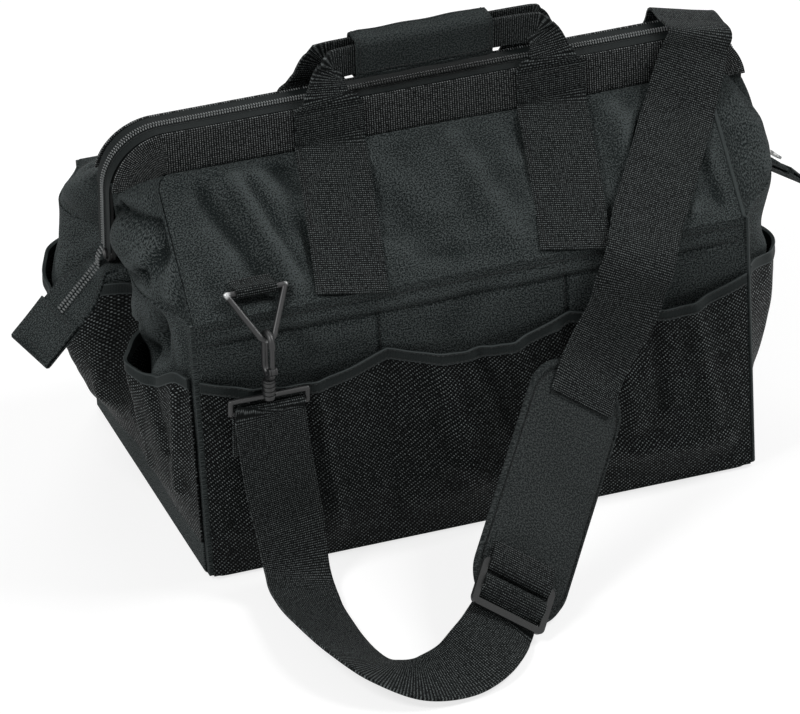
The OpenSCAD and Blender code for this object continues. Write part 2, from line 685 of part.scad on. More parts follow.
module handle_wrap() {
    color(fabric_color) at_wrap() linear_extrude(wrap_l) intersection() {
        wrap_section();
        front_half(0);
    }
}
module wrap_flap() {
    color(fabric_color) at_wrap() linear_extrude(wrap_l) difference() {
        wrap_section();
        front_half(-clear);
    }
}

// Ring tab: webbing folded round the ring's bar and sewn to the shoulder, mostly above the bar.
// The rear set is the front set turned half round.
ring_up_share = 0.12;
tab_plate_t = 1.5 * web_t;
ring_out = clear + tab_plate_t + tab_loop_r - web_t / 3;
ring_at = shoulder_point(-1, -ring_x, ring_up_share, ring_out);
ring_tab_w = ring_bar - 2 * (ring_r + tab_loop_r);
tab_foot = 3 * ring_r;
slope_angle = atan2(shoulder_rise, shoulder_run);
module half_round(sy) rotate([0, 0, sy > 0 ? 180 : 0]) children();
module ring_tab() {
    color(web_color) translate(ring_at) rotate([slope_angle, 0, 0]) difference() {
        union() {
            rotate([0, 90, 0]) cylinder(h = ring_tab_w, r = tab_loop_r, center = true);
            translate([-ring_tab_w / 2, -tab_foot, 2 * clear - ring_out])
                cube([ring_tab_w, 3 * tab_foot, tab_plate_t - clear]);
        }
        rotate([0, 90, 0]) cylinder(h = ring_bar, r = ring_r + pin_gap, center = true);
    }
}
module front_ring_tab() ring_tab();
module rear_ring_tab() half_round(1) ring_tab();

// Triangle ring: bar, two straight sides and a rounded apex
apex_at = [0, apex_r - ring_h];
side_reach = norm([ring_bar / 2, apex_at[1]]);
touch_angle = atan2(-apex_at[1], ring_bar / 2) - acos(apex_r / side_reach);
// A bend is a hair thicker than the straight rods that run into its ends
module bent_rod(r, from, to, rod_r)
    rotate([0, 0, from]) rotate_extrude(angle = to - from) translate([r, 0]) circle(rod_r + pin_gap / 2);
bend_lap = 3;
module ring() {
    touch = apex_at + apex_r * [cos(touch_angle), sin(touch_angle)];
    color(black_metal_color) translate(ring_at) rotate([90 - ring_tilt, 0, 0]) {
        rod([-ring_bar / 2, 0, 0], [ring_bar / 2, 0, 0], ring_r);
        for (x = [-1, 1]) {
            translate([x * ring_bar / 2, 0, 0]) sphere(ring_r);
            rod([x * ring_bar / 2, 0, 0], [x * touch[0], touch[1], 0], ring_r);
        }
        translate([apex_at[0], apex_at[1], 0])
            bent_rod(apex_r, -180 - touch_angle - bend_lap, touch_angle + bend_lap, ring_r);
    }
}
module front_ring() ring();
module rear_ring() half_round(1) ring();

// Snap hook: a long bend that hangs on the ring's apex and stands open at the front, where the
// gate closes it; its stem turns in the barrel of the swivel eye
stem_r = barrel_r / 2;
gate_r = hook_r * 3 / 4;
cheek_r = hook_r * 6 / 5;
cheek_t = hook_r / 2;
gate_pin_r = hook_r / 2;
gate_root_w = hook_r * 4 / 3;
ring_apex = ring_at - ring_h * [0, sin(ring_tilt), cos(ring_tilt)];
hook_top = ring_apex - [0, 0, hook_bend_r - hook_r - ring_r - clear];
hook_y = hook_top[1];
hook_low_z = hook_top[2] - hook_side_l;
hook_foot_z = hook_low_z - hook_bend_r - hook_r;
barrel_top_z = hook_foot_z - clear;
eye_z = barrel_top_z - barrel_l + eye_rod_r;
stem_l = barrel_l - 2 * eye_rod_r - 2 * clear;
eye_l = web_w + 4 * eye_rod_r + 2 * clear;
module at_hook(z) translate([-ring_x, hook_y, z]) children();
module snap_hook() {
    color(black_metal_color) at_hook(hook_low_z) {
        difference() {
            union() {
                translate([0, 0, hook_side_l]) rotate([90, 0, 90])
                    bent_rod(hook_bend_r, -bend_lap, 180, hook_r);
                translate([0, hook_bend_r, 0]) cylinder(h = hook_side_l, r = hook_r);
                rotate([90, 0, 90]) bent_rod(hook_bend_r, -165, bend_lap, hook_r);
                translate([0, -hook_bend_r, 0]) rotate([0, 90, 0])
                    cylinder(h = gate_root_w + 2 * (clear + cheek_t), r = cheek_r, center = true);
                translate([0, 0, -hook_bend_r - hook_r]) cylinder(h = 2 * hook_r, r = hook_r);
            }
            translate([0, -hook_bend_r, 0]) rotate([0, 90, 0])
                cylinder(h = gate_root_w + 2 * clear, r = cheek_r + clear, center = true);
        }
        translate([0, -hook_bend_r, 0]) rotate([0, 90, 0])
            cylinder(h = gate_root_w + 2 * (clear + cheek_t), r = gate_pin_r, center = true);
        translate([0, 0, -hook_bend_r - hook_r - stem_l]) cylinder(h = stem_l + hook_r, r = stem_r);
    }
}
module hook_gate() {
    color(black_metal_color) at_hook(hook_low_z) translate([0, -hook_bend_r, 0]) difference() {
        union() {
            rotate([0, 90, 0]) cylinder(h = gate_root_w, r = cheek_r, center = true);
            cylinder(h = hook_side_l - clear, r = gate_r);
        }
        rotate([0, 90, 0]) cylinder(h = web_w, r = gate_pin_r + pin_gap, center = true);
    }
}
module swivel() {
    bead = barrel_l / (2 * barrel_rings + 1);
    eye_half = eye_l / 2 - eye_rod_r;
    color(black_metal_color) at_hook(barrel_top_z - barrel_l) {
        difference() {
            union() {
                cylinder(h = barrel_l, r = barrel_r);
                for (i = [1:barrel_rings])
                    translate([0, 0, bead * (2 * i - 1)]) cylinder(h = bead, r = barrel_r + bead / 3);
                rod([-eye_half, 0, eye_rod_r], [eye_half, 0, eye_rod_r], eye_rod_r);
            }
            translate([0, 0, barrel_l - stem_l - clear])
                cylinder(h = stem_l + clear + over, r = stem_r + pin_gap);
        }
        for (x = [-1, 1]) {
            rod([x * eye_half, 0, eye_rod_r - eye_h], [x * eye_half, 0, eye_rod_r], eye_rod_r);
            for (z = [0, 1]) translate([x * eye_half, 0, eye_rod_r - z * eye_h]) sphere(eye_rod_r);
        }
        rod([-eye_half, 0, eye_rod_r - eye_h], [eye_half, 0, eye_rod_r - eye_h], eye_rod_r);
    }
}
module front_snap_hook() snap_hook();
module rear_snap_hook() half_round(1) snap_hook();
module front_hook_gate() hook_gate();
module rear_hook_gate() half_round(1) hook_gate();
module front_swivel() swivel();
module rear_swivel() half_round(1) swivel();

// Shoulder pad: a domed cushion with a flat back. It lies with its head against the front pocket
// and stands on its lower right corner. Its own axes are x across, y towards the head, z outward.
pad_low = (pad_w / 2 - pad_end_r) * sin(pad_slant) + (pad_l / 2 - pad_end_r) * cos(pad_slant) * sin(pad_lie)
    + pad_end_r * norm([sin(pad_slant), cos(pad_slant) * sin(pad_lie)]) + clear;
pad_mid = [pad_x, -half_d - pad_out, pad_low];
function pad_across() = [cos(pad_slant) * cos(pad_turn), -cos(pad_slant) * sin(pad_turn), -sin(pad_slant)];
function pad_up() = [sin(pad_lie) * sin(pad_slant) * cos(pad_turn) + cos(pad_lie) * sin(pad_turn),
                     cos(pad_lie) * cos(pad_turn) - sin(pad_lie) * sin(pad_slant) * sin(pad_turn),
                     sin(pad_lie) * cos(pad_slant)];
function pad_face() = cross(pad_across(), pad_up());
function on_pad(p) = pad_mid + pad_across() * p[0] + pad_up() * p[1] + pad_face() * p[2];
module at_pad() translate(pad_mid) rotate([pad_lie, pad_slant, -pad_turn]) children();
pad_corner_steps = 8;
pad_rings = 5;
function pad_outline() = [for (q = [0:3], k = [0:pad_corner_steps]) let (a = 90 * (q + k / pad_corner_steps))
    [(q == 0 || q == 3 ? 1 : -1) * (pad_w / 2 - pad_end_r) + pad_end_r * cos(a),
     (q < 2 ? 1 : -1) * (pad_l / 2 - pad_end_r) + pad_end_r * sin(a)]];
function pad_dome(share) = pad_edge_t + (pad_t - pad_edge_t) * (1 - pow(share, 4));
module shoulder_pad() {
    rim = pad_outline();
    n = len(rim);
    points = concat([for (k = [pad_rings:-1:1], p = rim) let (r = k / pad_rings)
                        [p[0] * r, p[1] * r, pad_dome(r)]],
                    [[0, 0, pad_t]], [for (p = rim) [p[0], p[1], 0]]);
    top = n * pad_rings;
    back = top + 1;
    rows = [for (k = [0:pad_rings - 2], i = [0:n - 1]) let (a = k * n + i, b = k * n + (i + 1) % n)
        each [[a, b + n, b], [a, a + n, b + n]]];
    tip = [for (i = [0:n - 1]) [top - n + i, top, top - n + (i + 1) % n]];
    side = [for (i = [0:n - 1]) let (b = (i + 1) % n) each [[i, b, back + b], [i, back + b, back + i]]];
    color(web_color) at_pad() polyhedron(points, concat(rows, tip, side, [[for (i = [0:n - 1]) back + i]]));
}

// Strap adjuster: a flat three-bar slide. The pad's loop goes round its upper bar and the short
// strap passes under the lower bar and over the middle one.
adjuster_x = -pad_w / 10;
adjuster_y = adjuster_w / 3 - pad_l / 2;
under_web = clear + web_t + clear;
adjuster_bar = adjuster_w / 7;
adjuster_slot = (adjuster_w - 3 * adjuster_bar) / 2;
adjuster_side = (adjuster_l - web_w) / 2 - clear;
bar_pitch = adjuster_bar + adjuster_slot;
upper_bar_y = adjuster_y + bar_pitch;
lower_bar_y = adjuster_y - bar_pitch;
loop_sewn_y = upper_bar_y + bar_pitch;
adjuster_z = pad_dome(-2 * loop_sewn_y / pad_l) + under_web;
module strap_adjuster() {
    color(black_metal_color) at_pad() translate([adjuster_x, adjuster_y, adjuster_z]) difference() {
        rounded_plate(adjuster_l, adjuster_w, adjuster_bar, adjuster_t);
        for (y = [-1, 1])
            translate([adjuster_side - adjuster_l / 2,
                       y * (adjuster_bar + adjuster_slot) / 2 - adjuster_slot / 2, -over])
                cube([adjuster_l - 2 * adjuster_side, adjuster_slot, adjuster_t + 2 * over]);
    }
}
// Heights above the pad's back of webbing under and over the adjuster, and its bars' places
under_z = adjuster_z - clear - web_t / 2;
over_z = adjuster_z + adjuster_t + lie;
slide_z = adjuster_z + adjuster_t / 2;
function across_pad(y, z) = [on_pad([adjuster_x, y, z]), pad_across(), web_w, web_t];
module pad_loop() {
    edge = adjuster_bar / 2;
    reach = edge + clear + web_t;
    color(web_color) ribbon([
        across_pad(loop_sewn_y, under_z),
        across_pad(upper_bar_y - edge, under_z),
        across_pad(upper_bar_y - reach, mix(under_z, slide_z, 2 / 3)),
        across_pad(upper_bar_y - reach, mix(over_z, slide_z, 2 / 3)),
        across_pad(upper_bar_y - edge, over_z),
        across_pad(upper_bar_y + edge + clear, over_z),
        across_pad(loop_sewn_y, under_z + web_t + clear)]);
}

// Short strap: from the front swivel's eye down the pocket, round a bend on the floor in front of
// the bag, tilted on its outer edge, and up into the adjuster. Each floor station is a place in
// shares of half_l, half_d and wall_h, then the direction across the webbing.
eye_low_z = eye_z - eye_h;
wrap_reach = eye_rod_r + lie + clear / 2;
floor_shares = [
    [-0.78, 1.16, 0.41, -1, 0.05, 0],
    [-0.75, 1.18, 0.22, -1, -0.05, 0],
    [-0.75, 1.31, 0.075, -0.97, -0.20, 0.15],
    [-0.765, 1.55, 0.052, -0.92, -0.2, 0.28],
    [-0.765, 1.85, 0.064, -0.85, -0.30, 0.38],
    [-0.74, 2.13, 0.067, -0.72, -0.55, 0.41],
    [-0.68, 2.33, 0.055, -0.45, -0.83, 0.28],
    [-0.57, 2.45, 0.038, -0.18, -0.98, 0],
    [-0.44, 2.46, 0.045, 0.1, -0.96, -0.22],
    [-0.325, 2.385, 0.08, 0.58, -0.68, -0.44]
];
module strap_short() {
    x = -ring_x;
    left = [-1, 0, 0];
    slot_edge = (adjuster_bar + web_t) / 2;
    color(web_color) ribbon(concat(
        [[[x, hook_y + wrap_reach, eye_low_z - 4 * eye_h], left, web_w, web_t]],
        [for (a = [0:30:180])
            [[x, hook_y + wrap_reach * cos(a), eye_low_z + wrap_reach * sin(a)], left, web_w, web_t]],
        eased(concat(
            [[[x, hook_y - wrap_reach, eye_low_z - eye_h], left, web_w, web_t]],
            [for (p = floor_shares)
                [[p[0] * half_l, -p[1] * half_d, p[2] * wall_h], [p[3], p[4], p[5]], web_w, web_t]]), 3),
        [across_pad(lower_bar_y - slot_edge, under_z - 4 * clear),
         across_pad(lower_bar_y + slot_edge, under_z),
         across_pad(adjuster_y - slot_edge, over_z),
         across_pad(adjuster_y + slot_edge, over_z),
         across_pad(adjuster_y + slot_edge + 2 * web_t, under_z + clear)]));
}

// Long strap: sewn to the pad's head, up over the front shoulder and across the mouth at its right
// corner, down the rear shoulder outside the rear ring and hook, and up into the rear swivel's eye
sewn_l = web_w * 3 / 5;
sewn_z = pad_dome(1 - 2 * sewn_l / pad_l) + lie;
rise_shares = [[0.12, 0], [0.37, 0.27], [0.61, 0.5], [0.82, 0.64]];
cross_shares = [[0.94, 0.85], [0.93, 0.6], [0.90, 0.38], [0.87, 0.25]];
strap_lie = lie + 4 * clear;
hang_out = hook_bend_r + hook_r + web_t + lie;
function crossing(n, t) = unit(cross(n, t));
module strap_long() {
    left = [-1, 0, 0];
    rise = [for (p = rise_shares)
        shoulder_point(-1, mix(strap_edge_x + web_w * 2 / 5, strap_mouth_x, p[1]), p[0], strap_lie)];
    fall = [for (i = [0:3]) let (p = cross_shares[i])
        shoulder_point(1, p[0] * half_l, p[1], strap_lie + i * clear + (i == 3 ? tab_plate_t : 0))];
    over_tab = shoulder_point(1, ring_x + web_t, ring_up_share, ring_out + tab_loop_r + clear + web_t);
    n = shoulder_normal(-1);
    hang_y = -hook_y + hang_out;
    crown = mouth_h + lie;
    slope = [1, 0, -1 / 4];
    color(web_color) ribbon(concat(eased(concat(
        [[on_pad([0, pad_l / 2 - sewn_l, sewn_z]), -pad_across(), web_w, web_t],
         [on_pad([0, pad_l / 2 - sewn_l / 2, sewn_z]), -pad_across(), web_w, web_t],
         [on_pad([web_t, pad_l / 2 + sewn_l / 3, pad_t]), -pad_across(), web_w, web_t],
         [[strap_edge_x - web_w / 8, -half_d * 1.17, wall_h * 0.84], -pad_across(), web_w, web_t],
         [[strap_edge_x, -half_d * 1.14, wall_h * 0.975], [-0.85, 0.4, 0.3], web_w, web_t]],
        [for (i = [0:len(rise) - 1]) let (t = rise[min(i + 1, len(rise) - 1)] - rise[max(i - 1, 0)])
            [rise[i], crossing(n, t), web_w, web_t]],
        [[[strap_mouth_x - web_t * 3, -band_at(tape_z - band_h / 3) - 2 * web_t, tape_z - band_h / 3],
          [-0.87, 0, 0.5], web_w, web_t],
         [[strap_mouth_x, -band_face_y - web_t, crown], -slope, web_w, web_t],
         [[strap_mouth_x, 0, crown + web_t / 2], -slope, web_w, web_t],
         [[strap_mouth_x, band_face_y + web_t, crown], -slope, web_w, web_t],
         [[strap_mouth_x - web_t, band_at(tape_z - band_h / 3) + 2 * web_t, tape_z - band_h / 3],
          [-0.97, 0, 0.25], web_w, web_t]],
        [for (p = fall) [p, left, web_w, web_t]],
        [[over_tab, left, web_w, web_t],
         [[ring_x + 4 * web_t, mix(over_tab[1], hang_y, 2 / 3), mix(over_tab[2], hook_top[2], 1 / 3)],
          left, web_w, web_t],
         [[ring_x + 4 * web_t, hang_y, hook_top[2] + web_t], left, web_w, web_t],
         [[ring_x + 3 * web_t, hang_y + web_t, eye_z], left, web_w, web_t],
         [[ring_x + 2 * web_t, hang_y, wall_h * 0.42], left, web_w, web_t],
         [[ring_x + web_t, hang_y - web_t, wall_h * 0.28], left, web_w, web_t],
         [[ring_x + web_t, mix(hang_y - web_t, wrap_reach - hook_y, 1 / 2), wall_h * 0.24],
          left, web_w, web_t],
         [[ring_x, wrap_reach - hook_y, wall_h * 0.28], left, web_w, web_t],
         [[ring_x, wrap_reach - hook_y, wall_h * 0.42], left, web_w, web_t],
         [[ring_x, wrap_reach - hook_y, eye_low_z], left, web_w, web_t]]), 2),
        [for (a = [30:30:180])
            [[ring_x, wrap_reach * cos(a) - hook_y, eye_low_z + wrap_reach * sin(a)], left, web_w, web_t]],
        [[[ring_x, -wrap_reach - hook_y, eye_low_z - 4 * eye_h], left, web_w, web_t]]));
}

base_panel();
base_board();
front_panel();
rear_panel();
left_end_panel();
right_end_panel();
left_base_border();
right_base_border();
front_mesh_pocket();
rear_mesh_pocket();
left_mesh_pocket();
right_mesh_pocket();
front_pocket_binding();
rear_pocket_binding();
left_pocket_binding();
right_pocket_binding();
front_shoulder();
rear_shoulder();
left_front_gusset();
left_rear_gusset();
right_front_gusset();
right_rear_gusset();
front_frame();
rear_frame();
left_hinge_rivet();
right_hinge_rivet();
front_mouth_band();
rear_mouth_band();
front_zip_tape();
rear_zip_tape();
front_zip_coil();
rear_zip_coil();
left_zip_tail();
right_zip_tail();
left_tail_tab();
right_tail_tab();
zip_slider();
zip_pull();
front_handle_legs();
rear_handle_legs();
front_handle_loop();
rear_handle_loop();
handle_wrap();
wrap_flap();
front_ring_tab();
rear_ring_tab();
front_ring();
rear_ring();
front_swivel();
rear_swivel();
front_snap_hook();
rear_snap_hook();
front_hook_gate();
rear_hook_gate();
strap_long();
strap_short();
shoulder_pad();
pad_loop();
strap_adjuster();
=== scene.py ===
import math
import bpy
import numpy as np
from mathutils import Matrix, Vector, noise


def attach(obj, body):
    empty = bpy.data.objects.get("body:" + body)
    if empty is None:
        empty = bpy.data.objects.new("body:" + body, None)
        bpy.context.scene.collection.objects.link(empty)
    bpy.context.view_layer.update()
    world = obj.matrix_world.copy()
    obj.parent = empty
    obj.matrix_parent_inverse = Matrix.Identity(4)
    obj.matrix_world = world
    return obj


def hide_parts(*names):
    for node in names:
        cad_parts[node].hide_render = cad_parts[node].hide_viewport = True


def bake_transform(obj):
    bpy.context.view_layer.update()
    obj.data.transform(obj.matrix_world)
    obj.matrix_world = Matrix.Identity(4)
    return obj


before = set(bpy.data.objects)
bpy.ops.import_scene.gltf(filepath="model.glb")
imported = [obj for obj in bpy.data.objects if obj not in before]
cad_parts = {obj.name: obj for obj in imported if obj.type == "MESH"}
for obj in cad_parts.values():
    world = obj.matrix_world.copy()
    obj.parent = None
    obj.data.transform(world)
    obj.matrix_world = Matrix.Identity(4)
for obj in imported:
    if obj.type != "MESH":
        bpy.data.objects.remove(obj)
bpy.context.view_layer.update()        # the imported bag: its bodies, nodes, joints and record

mm = 0.001
turn = 2 * math.pi


# camera
view = {
    "aim": (-27.38, -25.38, 85.74), "back": (-0.3051, -0.7943, 0.5254), "distance": 4500,
    "right": (0.9335, -0.3586, 0.0), "up": (0.1884, 0.4905, 0.8508), "lens": 289.9, "sensor": 36,
}


def placeCamera():
    spot = (Vector(view["aim"]) + Vector(view["back"]) * view["distance"]) * mm
    turned = Matrix((view["right"], view["up"], view["back"])).transposed()
    bpy.ops.object.camera_add(location=spot, rotation=turned.to_euler())
    lensman = bpy.context.object
    lensman.name = "photoCamera"
    lensman.data.lens = view["lens"]
    lensman.data.sensor_width = view["sensor"]
    lensman.data.clip_end = 50
    bpy.context.scene.camera = lensman


placeCamera()
print("camera placed")


# shader maths
class Wire:                                  # a shader socket that can be used in a formula
    def __init__(self, look, socket):
        self.look = look
        self.socket = socket

    def __add__(self, other): return self.look.maths("ADD", self, other)
    def __radd__(self, other): return self.look.maths("ADD", other, self)
    def __sub__(self, other): return self.look.maths("SUBTRACT", self, other)
    def __rsub__(self, other): return self.look.maths("SUBTRACT", other, self)
    def __mul__(self, other): return self.look.maths("MULTIPLY", self, other)
    def __rmul__(self, other): return self.look.maths("MULTIPLY", other, self)
    def __truediv__(self, other): return self.look.maths("DIVIDE", self, other)
    def __rtruediv__(self, other): return self.look.maths("DIVIDE", other, self)
    def __pow__(self, other): return self.look.maths("POWER", self, other)
    def __mod__(self, other): return self.look.maths("FLOORED_MODULO", self, other)
    def wave(self): return self.look.maths("SINE", self)
    def size(self): return self.look.maths("ABSOLUTE", self)
    def top(self, other): return self.look.maths("MAXIMUM", self, other)
    def low(self, other): return self.look.maths("MINIMUM", self, other)


class Look:                                  # one material and the nodes that make it
    def __init__(self, name, holder=None):
        self.material = holder or bpy.data.materials.new(name)
        self.material.use_nodes = True
        self.tree = self.material.node_tree
        self.tree.nodes.clear()

    def node(self, kind, settings=None, sockets=None):
        made = self.tree.nodes.new("ShaderNode" + kind)
        for key, value in (settings or {}).items():
            setattr(made, key, value)
        for key, value in (sockets or {}).items():
            target = made.inputs[key]
            if isinstance(value, Wire):
                self.tree.links.new(value.socket, target)
            else:
                target.default_value = value
        return made

    def out(self, made, name=0): return Wire(self, made.outputs[name])

    def maths(self, operation, first, second=None):
        sockets = {0: first} if second is None else {0: first, 1: second}
        return self.out(self.node("Math", {"operation": operation}, sockets))

    def place(self, source):                 # x, y and z of the UV map or of the object
        made = self.node("TexCoord")
        parts = self.node("SeparateXYZ", None, {0: self.out(made, source)})
        return [self.out(parts, i) for i in range(3)], self.out(made, source)

    def kept(self, name):                    # a measure that the mesh keeps on its own vertices
        made = self.node("Attribute", {"attribute_type": "GEOMETRY", "attribute_name": name})
        return self.out(made, "Fac")

    def speckle(self, vector, scale, detail=2.0, rough=0.5):
        made = self.node("TexNoise", None, {"Vector": vector, "Scale": scale, "Detail": detail,
                                            "Roughness": rough})
        return self.out(made, 0)

    def blend(self, share, first, second):
        made = self.node("Mix", {"data_type": "RGBA"}, {0: share, 6: first, 7: second})
        return self.out(made, 2)

    def bump(self, height, distance, strength=1.0):
        made = self.node("Bump", None, {"Height": height, "Distance": distance, "Strength": strength})
        return self.out(made, 0)

    def seen(self):                          # 1 where the camera looks, straight or by a reflection
        path = self.node("LightPath")
        straight, shone, through = [self.out(path, "Is " + word + " Ray")
                                    for word in ("Camera", "Glossy", "Transmission")]
        return straight.top(shone).top(through)

    def finish(self, sockets):
        shader = self.node("BsdfPrincipled", None, sockets)
        self.node("OutputMaterial", None, {0: self.out(shader)})
        return self.material


def rgba(colour): return (colour[0], colour[1], colour[2], 1.0)


# cloth finishes, on UV maps in metres
clothShine = 0.05
# how much each fold is painted: paler for each mm that it stands proud, as painted highlight, and darker
# for each mm that it sinks, as painted shade
clothTone = {
    "fabric": {"dark": (0.011, 0.0145, 0.0145), "light": (0.094, 0.108, 0.108), "pitch": 0.95,
               "rough": 0.75, "shadingAndWear": 0.3},
    "padFabric": {"dark": (0.020, 0.024, 0.024), "light": (0.085, 0.094, 0.094), "pitch": 0.85,
                  "rough": 0.85, "shadingAndWear": 0.05},
    "wrapFabric": {"dark": (0.014, 0.018, 0.018), "light": (0.064, 0.074, 0.074), "pitch": 0.8,
                   "rough": 0.8, "shadingAndWear": 0.1},
}


def clothLook(name):
    tone = clothTone[name]
    look = Look(name)
    (x, y, _), uv = look.place("UV")
    count = turn / (tone["pitch"] * mm)
    warp = (x * count).wave()
    weft = (y * count).wave()
    weave = (warp * weft) * 0.5 + 0.5
    grain = look.speckle(uv, 900.0, 1.0)
    thread = look.speckle(uv, 2200.0, 0.0)
    blotch = look.speckle(uv, 22.0, 3.0)
    # painted light: fold ridges painted paler as painted highlight, fold valleys painted darker as painted
    # shade
    folds = (look.kept("folds") * tone["shadingAndWear"]).top(-0.55).low(0.5)
    share = (grain - 0.5) * 4.4 + (thread - 0.5) * 1.8 + (blotch - 0.5) * 0.5 + 0.36 + folds
    colour = look.blend(share.top(0.0).low(1.0), rgba(tone["dark"]), rgba(tone["light"]))
    height = weave * 0.6 + grain * 0.8
    return look.finish({
        "Base Color": colour, "Roughness": (blotch * 0.2 + (tone["rough"] - 0.1)),
        "Normal": look.bump(height, 0.0007, 0.8),
        "Specular IOR Level": clothShine})


# the webbing's rib tops and bead crests are painted towards the light tone as painted highlight, and the
# grooves between them towards the dark tone as painted shade
webTone = {"dark": (0.0045, 0.0055, 0.0055), "light": (0.165, 0.182, 0.182), "rib": 1.6, "cross": 1.5}


def webLook(name, rib=None, light=None):
    look = Look(name)
    (x, y, _), uv = look.place("UV")
    ribs = (x * (turn / ((rib or webTone["rib"]) * mm))).wave() * 0.5 + 0.5
    beads = (y * (turn / (webTone["cross"] * mm))).wave() * 0.5 + 0.5
    fuzz = look.speckle(uv, 950.0, 1.0)
    patch = look.speckle(uv, 30.0, 3.0)
    # rib tops and bead crests painted pale as painted highlight; grooves painted dark as painted shade
    top = ribs ** 2.2
    # fold ridges painted paler as painted highlight, fold valleys painted darker as painted shade
    folds = (look.kept("folds") * 0.12 + 1.0).top(0.5).low(1.6)
    share = top * (beads ** 1.5 * 0.9 + 0.1) * ((fuzz - 0.36) * 7.5).top(0.1) * folds + (patch - 0.5) * 0.06
    colour = look.blend(share.top(0.0).low(1.0), rgba(webTone["dark"]), rgba(light or webTone["light"]))
    height = top + beads * 0.3
    return look.finish({
        "Base Color": colour, "Roughness": patch * 0.2 + 0.55,
        "Normal": look.bump(height, 0.0006, 0.7),
        "Specular IOR Level": clothShine})


# the first tone is painted shade, the shaded wall seen through the mesh's holes; the pale tone on the black
# yarn is painted highlight
meshTone = {"holeShade": (0.0016, 0.0022, 0.0022), "yarn": (0.27, 0.30, 0.30), "row": 2.5, "dash": 1.9}


def meshLook(name):
    look = Look(name)
    (x, y, _), uv = look.place("UV")
    wander = look.speckle(uv, 14.0, 1.0) - 0.5
    along = (x * 0.72 + y * 0.69) + wander * 0.004
    across = (x * 0.69 - y * 0.72) + wander * 0.004
    rows = (across * (turn / (meshTone["row"] * mm))).wave()
    dashes = (along * (turn / (meshTone["dash"] * mm)) + rows * 0.6).wave()
    yarn = (rows * 0.6 + 0.35).top(0.0) * (dashes * 0.55 + 0.5).top(0.0)
    # random specks of the yarn painted brighter as painted glints
    paintedGlint = look.speckle(uv, 700.0, 1.0)
    # fold ridges painted paler as painted highlight, fold valleys painted darker as painted shade
    folds = (look.kept("folds") * 0.3 + 1.0).top(0.25).low(2.2)
    share = (yarn ** 1.8 * ((paintedGlint - 0.38) * 6.5).top(0.1) * folds).low(1.0)
    colour = look.blend(share, rgba(meshTone["holeShade"]), rgba(meshTone["yarn"]))
    return look.finish({
        "Base Color": colour, "Roughness": 0.62 - share * 0.3,
        "Normal": look.bump(yarn, 0.0008, 0.9), "Specular IOR Level": clothShine})


tapeRib = 1.1


def smoothTapeLook(name, dark, light, edge=0.0):
    look = Look(name)
    (x, y, _), uv = look.place("UV")
    ribs = (x * (turn / (tapeRib * mm))).wave() * 0.5 + 0.5
    grain = look.speckle(uv, 1300.0, 1.0)
    share = ribs * 0.15 + grain * 0.55
    if edge:                                 # a paler line along both edges of a tape this wide
        share = share + ((((y / (edge * mm)) % 1.0 - 0.5).size() - 0.36) * 14.0).top(0.0).low(1.0) * 0.75
    colour = look.blend(share, rgba(dark), rgba(light))
    return look.finish({
        "Base Color": colour, "Roughness": grain * 0.2 + 0.5,
        "Normal": look.bump(ribs * 0.4 + grain * 0.5, 0.0003, 0.5), "Specular IOR Level": clothShine})


def metalLook(name, paint, bare, wear, rough, spots=()):
    look = Look(name)
    (x, y, z), spot = look.place("Object")
    chips = look.speckle(spot, 220.0, 4.0, 0.6)
    smear = look.speckle(spot, 60.0, 2.0)
    shadingAndWear = ((chips - wear) * 14.0).top(0.0).low(1.0)
    for (a, b, c), reach in spots:           # places painted bright bare metal
        far = ((x - a * mm) ** 2.0 + (y - b * mm) ** 2.0 + (z - c * mm) ** 2.0) ** 0.5
        near = (1.0 - far / (reach * mm)).top(0.0)
        shadingAndWear = shadingAndWear.top((near * 3.0 * (chips + 0.25)).low(1.0))
    colour = look.blend(shadingAndWear, rgba(paint), rgba(bare))
    return look.finish({
        "Base Color": colour, "Metallic": shadingAndWear * 0.95, "Roughness": smear * 0.22 + rough,
        "Normal": look.bump(chips, 0.00015, 0.35), "Specular IOR Level": 0.6})


def plasticLook(name, tone, rough):
    look = Look(name)
    _, spot = look.place("Object")
    grain = look.speckle(spot, 1400.0, 2.0)
    smear = look.speckle(spot, 70.0, 3.0)
    colour = look.blend(smear, rgba([c * 0.8 for c in tone]), rgba([c * 1.3 for c in tone]))
    return look.finish({
        "Base Color": colour, "Roughness": smear * 0.18 + rough,
        "Normal": look.bump(grain, 0.00008, 0.5), "Specular IOR Level": 0.5})


looks = {name: clothLook(name) for name in clothTone}
looks["webbing"] = webLook("webbing")
# the band's rib tops are painted paler still, as painted highlight
looks["band"] = webLook("band", rib=1.75, light=(0.26, 0.275, 0.275))
looks["mesh"] = meshLook("mesh")
looks["binding"] = smoothTapeLook("binding", (0.007, 0.0095, 0.0095), (0.055, 0.064, 0.064), 9.0)
looks["tape"] = smoothTapeLook("zipTape", (0.005, 0.0065, 0.0065), (0.022, 0.027, 0.027))
looks["piping"] = smoothTapeLook("piping", (0.022, 0.028, 0.028), (0.095, 0.108, 0.108))
# the black thread is painted darker than the cloth, as painted shade along the stitched lines
looks["thread"] = plasticLook("thread", (0.007, 0.008, 0.008), 0.7)
# the coil's black nylon teeth are painted pale grey as their painted highlight
looks["coil"] = plasticLook("coil", (0.13, 0.14, 0.14), 0.25)
looks["plastic"] = plasticLook("adjusterPlastic", (0.0075, 0.0085, 0.0085), 0.32)
looks["board"] = plasticLook("board", (0.02, 0.02, 0.02), 0.6)
looks["steel"] = metalLook("stripSteel", (0.010, 0.011, 0.011), (0.16, 0.16, 0.16), 0.7, 0.5)
looks["pull"] = metalLook("pullMetal", (0.30, 0.31, 0.31), (0.62, 0.62, 0.61), 0.42, 0.22)
print("finishes mixed")


